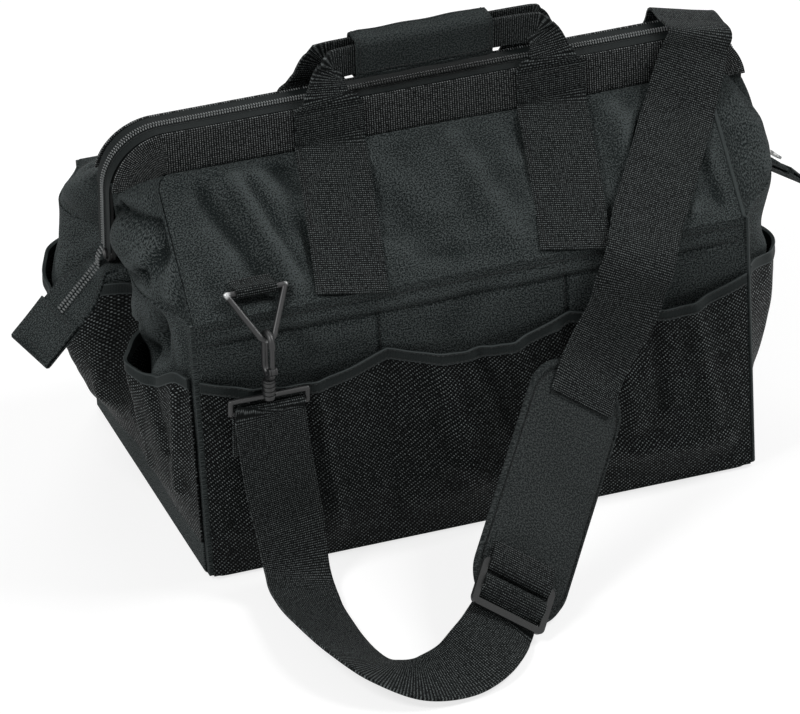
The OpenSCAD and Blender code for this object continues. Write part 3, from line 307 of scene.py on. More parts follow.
# making sheets, strips and rows of copies
def alone(piece=None):
    bpy.ops.object.select_all(action="DESELECT")
    if piece:
        piece.select_set(True)
        bpy.context.view_layer.objects.active = piece


def withModifier(piece, kind, settings):
    alone(piece)
    made = piece.modifiers.new(kind.lower(), kind)
    for key, value in settings.items():
        setattr(made, key, value)
    bpy.ops.object.modifier_apply(modifier=made.name)


def edited(piece, *steps):
    alone(piece)
    bpy.ops.object.mode_set(mode="EDIT")
    bpy.ops.mesh.select_all(action="SELECT")
    for step in steps:
        step()
    bpy.ops.object.mode_set(mode="OBJECT")


def corners(piece):
    flat = np.empty(len(piece.data.vertices) * 3)
    piece.data.vertices.foreach_get("co", flat)
    return flat.reshape(-1, 3)


def setCorners(piece, points):
    piece.data.vertices.foreach_set("co", np.asarray(points, float).ravel())
    piece.data.update()


def stretchUv(piece, size):
    layer = piece.data.uv_layers.active
    flat = np.empty(len(layer.data) * 2)
    layer.data.foreach_get("uv", flat)
    flat = flat.reshape(-1, 2) * np.array(size) * mm
    layer.data.foreach_set("uv", flat.ravel())


def slid(grid, axis, steps):                 # the mean of each vertex's neighbours along one way
    wide = np.pad(grid, [(steps + 1, steps) if i == axis else (0, 0) for i in range(3)], mode="edge")
    total = np.cumsum(wide, axis=axis)
    long = grid.shape[axis]
    first, last = range(2 * steps + 1, 2 * steps + 1 + long), range(0, long)
    return (np.take(total, first, axis=axis) - np.take(total, last, axis=axis)) / (2 * steps + 1)


foldReach = 7.0                              # how wide the cloth around a vertex is, in mm


def markFolds(piece, cols, rows, flip):
    # keeps how far each vertex stands proud of the cloth around it, in mm, for the painted highlight on
    # ridges and painted shade in valleys of the cloth's colour
    grid = corners(piece).reshape(rows + 1, cols + 1, 3) / mm
    normal = np.cross(np.gradient(grid, axis=1), np.gradient(grid, axis=0))
    normal /= np.maximum(1e-9, np.linalg.norm(normal, axis=2, keepdims=True))
    even = grid
    for axis in (0, 1, 0, 1):
        gap = np.linalg.norm(np.diff(grid, axis=axis), axis=2).mean()
        even = slid(even, axis, max(1, int(foldReach / gap)))
    proud = np.sum((grid - even) * normal, axis=2) * (-1 if flip else 1)
    edge = np.minimum(np.arange(rows + 1), np.arange(rows, -1, -1))[:, None] / 4
    side = np.minimum(np.arange(cols + 1), np.arange(cols, -1, -1))[None, :] / 4
    kept = piece.data.attributes.new("folds", "FLOAT", "POINT")
    kept.data.foreach_set("value", (proud * np.minimum(1, edge) * np.minimum(1, side)).ravel())


def sheet(name, cols, rows, shape, size, thick=0.0, flip=False, side=-1.0, bevel=0.0):
    alone()
    bpy.ops.mesh.primitive_grid_add(x_subdivisions=cols, y_subdivisions=rows, size=1.0)
    piece = bpy.context.object
    piece.name = piece.data.name = name
    flat = corners(piece)
    setCorners(piece, shape(flat[:, 0] + 0.5, flat[:, 1] + 0.5) * mm)
    stretchUv(piece, size)
    markFolds(piece, cols, rows, flip)
    if flip:
        edited(piece, bpy.ops.mesh.flip_normals)
    if thick:
        withModifier(piece, "SOLIDIFY", {"thickness": thick * mm, "offset": side})
    if bevel:
        withModifier(piece, "BEVEL", {"width": bevel * mm, "segments": 2, "limit_method": "ANGLE",
                                      "angle_limit": 1.0})
    alone(piece)
    bpy.ops.object.shade_smooth_by_angle(angle=0.8)
    return piece


# places where a piece turns from one body to another: bodies, start and end of the bend
bends = {
    "front": ("bag", "front_mouth", (0, -0.120, 0.205), (0, -0.014, 0.268)),
    "rear": ("bag", "rear_mouth", (0, 0.120, 0.205), (0, 0.014, 0.268)),
    "frontSide": ("bag", "front_mouth", (0, 0, 0.205), (0, 0, 0.26624)),
    "rearSide": ("bag", "rear_mouth", (0, 0, 0.205), (0, 0, 0.26624)),
    "frontGrip": ("front_mouth", "front_handle", (0, -0.0164, 0.2908), (0, -0.0164, 0.305)),
    "rearGrip": ("rear_mouth", "rear_handle", (0, 0.0164, 0.2908), (0, 0.0164, 0.305)),
    "frontHang": ("bag", "front_ring", (0, 0, 0.06), (0, 0, 0.13)),
    "rearDrop": ("bag", "rear_ring", (0, 0, 0.222), (0, 0, 0.194)),
}


def dress(piece, look, moves, nodes=()):
    piece.data.materials.clear()
    piece.data.materials.append(looks[look])
    if nodes:
        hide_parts(*nodes)
    if moves in bends:
        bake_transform(piece)
    else:
        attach(piece, moves)
    return piece


# curves and small maths
def mix(a, b, t): return a + (b - a) * t


def smooth(t):
    c = np.clip(t, 0, 1)
    return c * c * (3 - 2 * c)


def bump(q):
    c = np.maximum(0, 1 - q * q)
    return c * c


def unit(v):
    v = np.asarray(v, float)
    return v / np.maximum(1e-9, np.linalg.norm(v, axis=-1, keepdims=True))


def lengthAlong(points):                     # how far each point lies along a line through them all
    return np.concatenate([[0], np.cumsum(np.linalg.norm(np.diff(points, axis=0), axis=1))])


def faceWay(shape, u, v, e):                 # the normal of a shape at u, v
    return unit(np.cross(shape(u + e, v) - shape(u - e, v), shape(u, v + e) - shape(u, v - e)))


def stack(*parts): return np.stack(np.broadcast_arrays(*[np.asarray(p, float) for p in parts]), -1)


def creases(a, b, folds):                    # each fold: from a, b to a, b, its half width and height
    total = np.zeros_like(a, float)
    for a0, b0, a1, b1, width, height in folds:
        da, db = a1 - a0, b1 - b0
        t = np.clip(((a - a0) * da + (b - b0) * db) / max(1e-6, da * da + db * db), 0, 1)
        gap = np.hypot(a - a0 - t * da, b - b0 - t * db)
        total += height * np.exp(-(gap / width) ** 2)
    return total


def ripple(points, scale, seed=0.0):
    spots = np.asarray(points, float) / scale + seed
    return np.array([noise.fractal(Vector(p), 1.0, 2.0, 2) for p in spots])


def curvePoint(a, b, c, d, t):
    return (2 * b + (c - a) * t + (2 * a - 5 * b + 4 * c - d) * t * t
            + (3 * b - a - 3 * c + d) * t * t * t) / 2


def eased(route, steps=10):                  # a smooth curve through stations of place, across, width
    rows = [np.concatenate([p[0], unit(p[1]), [p[2]]]).astype(float) for p in route]
    made = []
    for i in range(len(rows) - 1):
        a, b, c, d = rows[max(i - 1, 0)], rows[i], rows[i + 1], rows[min(i + 2, len(rows) - 1)]
        for k in range(steps):
            t = k / steps
            spot = curvePoint(a[:3], b[:3], c[:3], d[:3], t)
            made.append(np.concatenate([spot, mix(b[3:], c[3:], t)]))
    return np.array(made + [rows[-1]])


def shiftUv(piece, start):
    layer = piece.data.uv_layers.active
    flat = np.empty(len(layer.data) * 2)
    layer.data.foreach_get("uv", flat)
    flat = flat.reshape(-1, 2) + np.array((start * mm, 0))
    layer.data.foreach_set("uv", flat.ravel())


def scattered(name, template, places, ways, ups):   # one mesh of turned copies of a template
    base = corners(template)
    ways = unit(ways)
    sides = unit(np.cross(ups, ways))
    tops = np.cross(ways, sides)
    spots = (np.asarray(places)[:, None, :] * mm + base[None, :, 0:1] * ways[:, None, :]
             + base[None, :, 1:2] * sides[:, None, :] + base[None, :, 2:3] * tops[:, None, :])
    template.data.uv_layers.remove(template.data.uv_layers.active)
    withModifier(template, "ARRAY", {"count": len(places)})
    setCorners(template, spots.reshape(-1, 3))
    template.name = template.data.name = name
    bpy.ops.object.shade_smooth()
    return template


stitch = {"pitch": 3.4, "long": 2.5, "radius": 0.33}


def stitchRow(shape, lines, lift=0.0, pitch=None):   # places, ways and normals of stitches on a shape
    places, ways, ups = [], [], []
    step = pitch or stitch["pitch"]
    for (u0, v0), (u1, v1) in lines:
        t = np.linspace(0, 1, 120)
        u, v = mix(u0, u1, t), mix(v0, v1, t)
        run = lengthAlong(shape(u, v))
        count = max(1, int(run[-1] / step))
        marks = (np.arange(count) + 0.5) * run[-1] / count
        su, sv = np.interp(marks, run, u), np.interp(marks, run, v)
        ahead, behind = [shape(np.interp(spots, run, u), np.interp(spots, run, v))
                         for spots in (marks + 0.5, marks - 0.5)]
        normal = faceWay(shape, su, sv, 0.002)
        places.append(shape(su, sv) + normal * lift)
        ways.append(ahead - behind)
        ups.append(normal)
    return np.concatenate(places), np.concatenate(ways), np.concatenate(ups)


def sewn(name, moves, rows):
    alone()
    bpy.ops.mesh.primitive_uv_sphere_add(segments=6, ring_count=4, radius=1.0)
    template = bpy.context.object
    setCorners(template, corners(template)[:, [2, 0, 1]]
               * np.array((stitch["long"] / 2, stitch["radius"], stitch["radius"])) * mm)
    places, ways, ups = [np.concatenate(part) for part in zip(*rows)]
    dress(scattered(name, template, places, ways, ups), "thread", moves)


# the bag's own shape, in millimetres; +x right, -y front, +z up
bag = {
    "halfL": 203.0, "halfD": 120.0, "wallH": 205.0, "wallT": 2.4, "bow": 5.0, "lean": 11.0,
    "baseT": 2.5, "baseRound": 12.0, "clothT": 2.0, "gussetT": 1.6, "seam": 0.3, "half": 200.6,
    "lobes": {-1: (16.0, 40.0), 1: (34.0, 34.0)}, "fold": 14.0, "tie": 22.3,
    "bandFoot": (17.936, 263.382), "clear": 0.3,
}


def endOut(sx, s, h):
    front, rear = bag["lobes"][sx]
    rise = smooth(h / 0.7) * (1 - 0.45 * smooth((h - 0.7) / 0.3))
    out = rise * (front * bump((s + 0.55) / 0.42) + rear * bump((s - 0.55) / 0.42))
    out = out - bag["fold"] * bump(s / 0.24) * bump((h - 0.72) / 0.26)
    return out + (bag["tie"] + sx * bag["lean"]) * smooth((h - 0.78) / 0.22) * (1 - s * s)


def endPoint(sx, s, z, out):
    h = z / bag["wallH"]
    return stack(sx * (bag["halfL"] + endOut(sx, s, h) + out) - bag["lean"] * h, s * bag["halfD"], z)


def bowed(x): return np.cos(math.pi / 2 * np.minimum(1, np.abs(x) / bag["halfL"]))


def wallY(x, z):
    return bag["halfD"] + bag["bow"] * bowed(x) * np.sin(math.pi * np.minimum(1, z / bag["wallH"]))


def longPoint(sy, x, z, out):
    return stack(x - bag["lean"] * z / bag["wallH"], sy * (wallY(x, z) + out), z)


slopeRise = bag["bandFoot"][1] - bag["wallH"]
slopeRun = bag["halfD"] - bag["bandFoot"][0]
slopeLong = math.hypot(slopeRise, slopeRun)


def slopeNormal(sy): return np.array((0, sy * slopeRise, slopeRun)) / slopeLong


def shoulderPoint(sy, x, v, out):
    proud = out + 3.0 * np.sin(math.pi * np.clip(v, 0, 1)) * bowed(x)
    y, z = mix(bag["halfD"], bag["bandFoot"][0], v), mix(bag["wallH"], bag["bandFoot"][1], v)
    flat = stack(x, sy * y, z)
    return flat + slopeNormal(sy) * np.asarray(proud)[..., None]


def shoulderSide(sx, v):
    z = mix(bag["wallH"], bag["bandFoot"][1], v)
    plain = mix(sx * 200.3 - bag["lean"], sx * 201.3, v)
    top = 192.4 + np.sqrt(np.maximum(0, 11.4 ** 2 - np.maximum(0, z - 252) ** 2))
    return np.where(v > 0.9, sx * np.minimum(np.abs(plain), top), plain)


ends = (("left", -1), ("right", 1))
sides = (("front", -1), ("rear", 1))

# walls
seamFolds = [(-200, 199, 200, 199, 1.7, -1.7), (-200, 187, 200, 187, 1.6, -1.5),
             (-200, 193, 200, 193, 3.5, 0.8)]
wallFolds = {                                # a, b to a, b, half width and height, in mm
    "front": seamFolds + [
        (-70, 186, -73, 0, 1.8, -1.6), (68, 186, 64, 0, 1.8, -1.6), (-200, 172, -80, 176, 9, 1.0),
        (-150, 200, -120, 168, 9, -1.4), (20, 204, -20, 165, 12, -1.6), (100, 204, 130, 168, 11, -1.5)],
    "rear": seamFolds + [
        (-68, 186, -64, 0, 1.8, -1.6), (70, 186, 73, 0, 1.8, -1.6), (-120, 200, -150, 168, 12, -1.5),
        (30, 204, 60, 165, 14, -1.6), (150, 200, 120, 166, 10, -1.2)],
}


def held(u, v, side, low, high):             # 1 in the middle of a sheet, falling to 0 at its sewn edges
    return np.minimum(1, np.minimum(v * low, (1 - v) * high)) * np.minimum(1, np.minimum(u, 1 - u) * side)


def wallRise(v): return mix(bag["baseT"], bag["wallH"] - bag["seam"], v)


def longWall(side, sy):
    def shape(u, v):
        x, z = mix(-bag["half"], bag["half"], u), wallRise(v)
        points = longPoint(sy, x, z, 0)
        lift = creases(x, z, wallFolds[side]) + ripple(points, 46, 3.0 * sy) * 1.1
        points[:, 1] += sy * lift * held(u, v, 14, 8, 12)
        return points
    piece = sheet(side + "Wall", 230, 100, shape, (401, 202), bag["wallT"], flip=sy > 0)
    dress(piece, "fabric", "bag", (side + "_panel",))
    return shape


wallShapes = {side: longWall(side, sign) for side, sign in sides}

endFolds = {                                 # s * 120 and z
    -1: [(-84, 200, -74, 168, 9, -13.0), (-74, 168, -52, 146, 10, -11.0), (-104, 200, -104, 150, 6, 3.0),
         (-58, 200, -48, 176, 6, 5.0), (-40, 176, -30, 150, 7, 5.0), (-36, 196, -20, 160, 5, -3.5),
         (30, 196, 60, 160, 8, 3.0), (86, 204, 70, 158, 7, -3.5), (-60, 146, -24, 60, 9, -3.5),
         (-100, 130, -70, 40, 8, 2.5), (20, 140, 60, 70, 10, -3.0), (100, 120, 80, 40, 9, 2.0)],
    1: [(-104, 190, -70, 140, 8, 3.0), (-50, 200, -56, 150, 7, -3.5), (20, 200, 26, 150, 7, 3.0),
        (64, 204, 84, 150, 8, -3.5), (-70, 140, -30, 60, 10, -3.0), (40, 130, 70, 60, 10, 2.5)],
}


def endWall(side, sx):
    def shape(u, v):
        s, z = mix(-1, 1, u), wallRise(v)
        points = endPoint(sx, s, z, 0)
        lift = creases(s * bag["halfD"], z, endFolds[sx]) * smooth((z - 20) / 60)
        points[:, 0] += sx * (lift + ripple(points, 38, 5.0 * sx) * 2.6) * held(u, v, 12, 10, 10)
        return points
    piece = sheet(side + "Wall", 130, 110, shape, (250, 215), bag["wallT"], flip=sx < 0)
    dress(piece, "fabric", "bag", (side + "_end_panel",))


for endSide, endSign in ends:
    endWall(endSide, endSign)


def bottom():
    halfL, halfD, r = bag["halfL"], bag["halfD"], bag["baseRound"]

    def shape(u, v):
        x, y = mix(-1, 1, u) * halfL, mix(-1, 1, v) * halfD
        dx, dy = np.maximum(np.abs(x) - (halfL - r), 0), np.maximum(np.abs(y) - (halfD - r), 0)
        reach = np.maximum(1e-6, np.hypot(dx, dy))
        grip = np.where((dx > 0) & (dy > 0), np.maximum(dx, dy) / reach, 1.0)
        x = np.where(dx > 0, np.sign(x) * (halfL - r + dx * grip), x)
        y = np.where(dy > 0, np.sign(y) * (halfD - r + dy * grip), y)
        return stack(x, y, np.full_like(x, bag["baseT"]))
    piece = sheet("baseCloth", 90, 56, shape, (2 * halfL, 2 * halfD), bag["baseT"], bevel=0.8)
    dress(piece, "fabric", "bag", ("base_panel",))


bottom()
border = {"end": 0.96, "low": 2.6, "top": 28.0, "thick": 1.6, "out": 1.9}


def endBorder(side, sx):
    def shape(u, v):
        s, z = mix(-border["end"], border["end"], u), mix(border["low"], border["top"], v)
        points = endPoint(sx, s, z, border["out"])
        points[:, 0] += sx * (0.9 * np.exp(-((v - 0.97) / 0.03) ** 2) - 1.1 * smooth((0.06 - v) / 0.06))
        return points
    piece = sheet(side + "Border", 90, 14, shape, (232, 26), border["thick"], flip=sx < 0, bevel=0.5)
    dress(piece, "fabric", "bag", (side + "_base_border",))


for endSide, endSign in ends:
    endBorder(endSide, endSign)

# mesh pockets and their bindings
pocket = {"h": 162.0, "sag": 12.0, "bulge": 6.5, "meshT": 1.2, "bindH": 9.0, "bindT": 2.4, "foot": 2.8,
          "half": 200.3, "end": 0.96, "endFoot": 28.3, "endOut": 0.6}


def bay(u, bays): return np.abs(np.sin(math.pi * u * bays))


def edgeZ(u, bays): return pocket["h"] - pocket["sag"] * bay(u, bays)


def pocketOut(u, v, bays):
    full = smooth(v / 0.25) * mix(1, 0.8, smooth(v))
    return 3 * bag["clear"] + pocket["meshT"] + pocket["bulge"] * bay(u, bays) * full


pocketFolds = {
    "front": [(-175, 150, -150, 20, 6, 1.6), (-128, 148, -110, 30, 6, 1.6), (-40, 148, -10, 40, 8, 2.0),
              (-10, 150, 20, 70, 6, -1.8), (15, 150, 42, 60, 7, 2.0), (50, 150, 60, 90, 5, 1.6),
              (88, 150, 110, 60, 7, 1.8), (120, 148, 128, 70, 6, -1.6), (150, 150, 172, 50, 7, 1.8),
              (-30, 60, 50, 20, 9, 1.5), (90, 40, 180, 30, 9, 1.4)],
    "rear": [(-170, 150, -140, 40, 7, 1.8), (-110, 148, -130, 50, 7, 1.6), (-30, 148, 0, 50, 8, 2.0),
             (30, 148, 10, 60, 7, -1.6), (100, 150, 120, 50, 7, 1.8), (160, 150, 140, 40, 7, 1.6)],
    "left": [(-104, 140, -92, 60, 5, 3.0), (-80, 150, -88, 90, 5, -3.0), (-60, 150, -52, 60, 6, 3.5),
             (-28, 150, -40, 80, 5, -2.5), (24, 150, 44, 60, 6, 3.0), (60, 150, 70, 80, 6, -2.5),
             (90, 150, 84, 60, 6, 3.0), (-40, 70, 60, 50, 8, 2.0)],
    "right": [(-90, 150, -76, 60, 7, 2.6), (-46, 150, -30, 70, 6, 2.4), (30, 150, 50, 60, 7, 2.6),
              (84, 150, 76, 70, 7, 2.4)],
}


def longPocket(side, sy):
    folds = pocketFolds[side]

    def cover(x0, z, u, v, out):
        seam = smooth(np.minimum(1, bay(u, 3) * 3))
        points = longPoint(sy, x0, z, out)
        lift = creases(points[:, 0], z, folds) * 1.7 + ripple(points, 30, 9.0 * sy) * 1.4
        points[:, 1] += sy * lift * seam * smooth(v * 6)
        return points

    def meshShape(u, v):
        x0 = mix(-pocket["half"], pocket["half"], u)
        z = mix(pocket["foot"], edgeZ(u, 3) - pocket["bindH"] + 1.0, v)
        return cover(x0, z, u, v, pocketOut(u, v, 3))

    def bindShape(u, v):
        x0 = mix(-pocket["half"], pocket["half"], u)
        z = edgeZ(u, 3) - pocket["bindH"] * (1 - v)
        roll = 0.7 * np.exp(-((v - 0.9) / 0.09) ** 2) + 0.35 * np.exp(-((v - 0.1) / 0.1) ** 2)
        return cover(x0, z, u, np.ones_like(u), pocketOut(u, np.ones_like(u), 3) + 1.2 + roll)

    mesh = sheet(side + "Mesh", 260, 84, meshShape, (403, 145), pocket["meshT"], flip=sy > 0)
    dress(mesh, "mesh", "bag", (side + "_mesh_pocket",))
    edge = sheet(side + "Binding", 260, 12, bindShape, (405, 9), pocket["bindT"], flip=sy > 0, bevel=0.5)
    dress(edge, "binding", "bag", (side + "_pocket_binding",))
    return bindShape


def endPocket(side, sx):
    folds = pocketFolds[side]
    ruffle = 7.0 if sx < 0 else 2.5

    def cover(s, z, u, v, out):
        seam = smooth(np.minimum(1, bay(u, 2) * 3))
        points = endPoint(sx, s, z, out)
        wavy = np.sin(u * turn * 4.5 + 0.6) * ruffle * 0.32 * smooth(v * 1.3 - 0.3)
        lift = creases(s * bag["halfD"], z, folds) + wavy + ripple(points, 26, 4.0 * sx) * 1.2
        points[:, 0] += sx * lift * seam * smooth(v * 5)
        points[:, 2] += ruffle * 0.75 * np.sin(u * turn * 3.5 + 1.2) * smooth(v * 1.6 - 0.6) * seam
        return points

    def meshShape(u, v):
        s = mix(-pocket["end"], pocket["end"], u)
        z = mix(pocket["endFoot"], edgeZ(u, 2) - pocket["bindH"] + 1.0, v)
        return cover(s, z, u, v, pocket["endOut"] + pocketOut(u, v, 2))

    def bindShape(u, v):
        s = mix(-pocket["end"], pocket["end"], u)
        z = edgeZ(u, 2) - pocket["bindH"] * (1 - v)
        roll = 0.6 * np.exp(-((v - 0.9) / 0.09) ** 2)
        one = np.ones_like(u)
        return cover(s, z, u, one, pocket["endOut"] + pocketOut(u, one, 2) + 1.2 + roll)

    mesh = sheet(side + "Mesh", 150, 74, meshShape, (250, 128), pocket["meshT"], flip=sx < 0)
    dress(mesh, "mesh", "bag", (side + "_mesh_pocket",))
    edge = sheet(side + "Binding", 150, 12, bindShape, (252, 9), pocket["bindT"], flip=sx < 0, bevel=0.5)
    dress(edge, "binding", "bag", (side + "_pocket_binding",))


bindShapes = {side: longPocket(side, sign) for side, sign in sides}
for endSide, endSign in ends:
    endPocket(endSide, endSign)
print("walls and pockets made")

# shoulders
shoulderFolds = {                            # x, share of the slope; widths and heights in mm on 1:63
    -1: [(-150, 8, -172, 50, 7, -3.2), (-132, 8, -150, 54, 6, 3.4), (-108, 4, -116, 56, 10, -3.8),
         (-60, 6, -140, 58, 9, 3.0), (-20, 10, -70, 50, 12, -2.5), (30, 6, 10, 54, 10, 1.8),
         (90, 10, 60, 52, 11, -1.8), (150, 6, 128, 54, 9, 2.6), (180, 10, 168, 56, 7, -2.4)],
    1: [(-140, 8, -120, 54, 8, 2.8), (-90, 6, -100, 54, 9, -3.0), (-20, 8, 10, 54, 12, 2.4),
        (50, 8, 60, 56, 9, -2.8), (110, 6, 130, 54, 9, 3.0), (160, 8, 150, 54, 8, -2.6)],
}


# where the long strap crosses each shoulder: shares of the slope, and x
strapRuns = {-1: ((0.12, 0.37, 0.61, 0.82, 1.0), (123, 143, 161, 176, 191)),
             1: ((0.25, 0.38, 0.6, 0.85), (177, 183, 189, 191))}


def shoulder(side, sy):
    def shape(u, v):
        start, end = shoulderSide(-1, v), shoulderSide(1, v)
        x = mix(start, end, u)
        made = shoulderPoint(sy, x, v, 0)
        lift = creases(x, v * 63, shoulderFolds[sy]) * 1.9 + ripple(made, 40, 7.0 * sy) * 3.4
        lift = lift * held(u, v, 30, 6, 9)
        fromLegs = np.abs(np.abs(x - 5.5) - 81.5) - 25
        fromStrap = np.abs(x - np.interp(v, *strapRuns[sy])) - 30
        near = np.minimum(fromLegs, fromStrap)          # the cloth is flat where webbing lies on it
        lift = np.where(lift > 0, lift * smooth(near / 9 + 0.2), lift)
        return made + slopeNormal(sy) * lift[:, None]

    piece = sheet(side + "Shoulder", 210, 64, shape, (403, 118), bag["clothT"], flip=sy > 0)
    dress(piece, "fabric", side, (side + "_shoulder",))


for sideWord, sideSign in sides:
    shoulder(sideWord, sideSign)


# gussets between the walls and the frame legs
gussetFolds = {                              # along 0..100 from the leg to the seam, up 0..60
    -1: [(4, 37, 40, 43, 4.5, -6.5), (40, 43, 92, 38, 4.5, -6.0), (10, 26, 70, 24, 11, 5.0),
         (30, 52, 80, 54, 6, 2.5), (92, 30, 66, 14, 4.5, -5.5), (66, 14, 34, 3, 4.5, -4.5),
         (84, 8, 96, 24, 5, 3.0)],
    1: [(14, 4, 20, 50, 8, 3.0), (36, 6, 40, 54, 8, -3.0), (66, 6, 70, 46, 9, 2.5)],
}


def gusset(end, sx, side, sy):
    def shape(u, v):
        near, rise = 12.3 / bag["halfD"], v * 0.995
        high, along, up = np.full_like(u, bag["wallH"]), u[:, None], v[:, None]
        foot = endPoint(sx, sy * mix(near, 1, u), high, 0)
        root = endPoint(sx, sy * np.full_like(u, near), high, 0)
        corner = endPoint(sx, sy * np.ones_like(u), high, 0)
        legTop = np.array((sx * 232.4, sy * 13.6, 261.0))
        seam = shoulderPoint(sy, np.full_like(u, sx * 230.0), rise, -0.4)
        seam[:, 0] = shoulderSide(sx, rise) + sx * 0.7
        # a sheet stretched between its foot on the end wall, the frame's leg and the seam
        made = mix(mix(root, legTop, up), seam, along) + (foot - mix(root, corner, along)) * (1 - up)
        made[:, 2] += 1.5 * np.sin(math.pi * u) * smooth(v * 3 - 2)
        made[:, 0] += sx * 11 * np.sin(math.pi * u) * np.sin(math.pi * np.minimum(1, v * 1.04))
        calm = smooth(np.minimum(1, np.minimum(u * 8, (1 - u) * 9)))
        calm = calm * np.minimum(1, np.minimum(v * 8, (1 - v) * 7))
        deep = 1 if sy < 0 else 0.6
        lift = creases(u * 100, v * 60, gussetFolds[sx]) * deep + ripple(made, 26, 3.0) * 2.0
        made[:, 0] += sx * lift * calm
        made[:, 1] += sy * lift * calm * 0.5
        return made
    piece = sheet(end + side.title() + "Gusset", 90, 64, shape, (120, 60), bag["gussetT"], flip=sx * sy < 0)
    dress(piece, "fabric", side + "Side", (end + "_" + side + "_gusset",))


for endSide, endSign in ends:
    for sideWord, sideSign in sides:
        gusset(endSide, endSign, sideWord, sideSign)
print("shoulders and gussets made")

# mouth: bands, zip tapes, coil
mouth = {"half": 235.0, "top": 294.0, "corner": 42.0, "low": 206.0, "lean": 8.0,
         "bandIn": 1.6, "bandW": 29.0, "bandY": 13.0, "bandT": 1.8, "bandLow": 257.0,
         "pitch": 1.9, "tapeW": 12.0, "tapeT": 0.9}
tapeZ = mouth["top"] - mouth["bandIn"]


def outline(t, inset, low):                  # t from the left foot, over the corners, to the right foot
    half, top, r = mouth["half"] - inset, mouth["top"] - inset, mouth["corner"] - inset
    leg, arc, flat = top - r - low, math.pi / 2 * r, 2 * (half - r)
    total = 2 * (leg + arc) + flat
    s = np.asarray(t, float) * total
    x, z = np.zeros_like(s), np.zeros_like(s)
    nx, nz = np.zeros_like(s), np.zeros_like(s)
    a = s < leg
    x[a], z[a], nx[a] = -half, low + s[a], -1
    b = (s >= leg) & (s < leg + arc)
    turned = (s[b] - leg) / r
    nx[b], nz[b] = -np.cos(turned), np.sin(turned)
    x[b], z[b] = -(half - r) + r * nx[b], top - r + r * nz[b]
    c = (s >= leg + arc) & (s < leg + arc + flat)
    x[c], z[c], nz[c] = -(half - r) + s[c] - leg - arc, top, 1
    d = (s >= leg + arc + flat) & (s < leg + 2 * arc + flat)
    turned = (s[d] - leg - arc - flat) / r
    nx[d], nz[d] = np.sin(turned), np.cos(turned)
    x[d], z[d] = (half - r) + r * nx[d], top - r + r * nz[d]
    e = s >= leg + 2 * arc + flat
    x[e], z[e], nx[e] = half, top - r - (s[e] - leg - 2 * arc - flat), 1
    return x, z, nx, nz, total



def band(side, sy):
    inner = mouth["corner"] - mouth["bandIn"]
    half, arc = mouth["half"] - mouth["corner"], inner * math.pi / 2
    total = 2 * arc + 2 * half
    centreZ = mouth["top"] - mouth["corner"]
    lean = math.radians(mouth["lean"])

    def shape(u, v):
        s = u * total
        r = inner - mouth["bandW"] * (1 - v)
        cut = np.arcsin(np.clip((mouth["bandLow"] - centreZ) / r, -1, 1))
        left = mix(cut, math.pi / 2, np.clip(s / arc, 0, 1))
        right = mix(cut, math.pi / 2, np.clip((total - s) / arc, 0, 1))
        x = np.where(s < arc, -half - r * np.cos(left),
                     np.where(s > total - arc, half + r * np.cos(right), -half + (s - arc)))
        up = np.where(s < arc, r * np.sin(left), np.where(s > total - arc, r * np.sin(right), r))
        edge = np.minimum(1, np.minimum(v, 1 - v) * 14)
        proud = mouth["bandT"] + 0.5 * np.sin(x / 31.0 + sy) * (1 - v) ** 2 - 0.35 * (1 - edge)
        drop = tapeZ - (centreZ + up)
        y = mouth["bandY"] + proud * math.cos(lean) + drop * math.sin(lean)
        return stack(x, sy * y, tapeZ - drop * math.cos(lean) + proud * math.sin(lean))

    size = (total, mouth["bandW"])
    piece = sheet(side + "Band", 300, 16, shape, size, mouth["bandT"], flip=sy > 0, bevel=0.5)
    dress(piece, "band", side + "_mouth", (side + "_mouth_band",))


def zipTape(side, sy):
    def shape(u, v):
        x, z, nx, nz, _ = outline(u, mouth["bandIn"], mouth["low"])
        across = mix(mouth["tapeW"], 0.15, v) if sy < 0 else mix(0.15, mouth["tapeW"], v)
        dip = 0.25 * np.sin(x / 23.0 + sy) * smooth((across - 4) / 8)
        return stack(x - nx * np.abs(dip), sy * across, z - nz * np.abs(dip))
    total = outline(np.zeros(1), mouth["bandIn"], mouth["low"])[4]
    piece = sheet(side + "Tape", 260, 6, shape, (total, mouth["tapeW"]), mouth["tapeT"])
    dress(piece, "tape", side + "_mouth", (side + "_zip_tape",))


def tooth(size=1.0):                         # one turn of the coil: long across the zip, low, rounded
    alone()
    bpy.ops.mesh.primitive_uv_sphere_add(segments=8, ring_count=5, radius=1.0)
    made = bpy.context.object
    points = corners(made)[:, [2, 0, 1]]
    setCorners(made, points * np.array((0.56, 1.42, 0.78)) * size * mm)
    return made


def coilRow(side, sy):
    total = outline(np.zeros(1), 0.8, mouth["low"])[4]
    count = int(total / mouth["pitch"])
    t = (np.arange(count) + (0.25 if sy < 0 else 0.75)) / count
    x, z, nx, nz, _ = outline(t, 0.8, mouth["low"])
    places = stack(x, np.full_like(x, sy * 1.62), z)
    ways = stack(nz, np.full_like(nx, 0.16 * sy), -nx)
    piece = scattered(side + "Coil", tooth(), places, ways, stack(nx, 0, nz))
    dress(piece, "coil", side + "_mouth", (side + "_zip_coil",))


def tapeSeam(side, sy):                      # the thread that holds the coil to its tape
    total = outline(np.zeros(1), mouth["bandIn"], mouth["low"])[4]
    count = int(total / 2.4)
    t = (np.arange(count) + 0.5) / count
    x, z, nx, nz, _ = outline(t, 1.5, mouth["low"])
    sewn(side + "TapeSeam", side + "_mouth", [(stack(x, sy * 4.3, z), stack(nz, 0, -nx), stack(nx, 0, nz))])


for make in (band, zipTape, coilRow, tapeSeam):
    for sideWord, sideSign in sides:
        make(sideWord, sideSign)
print("mouth made")

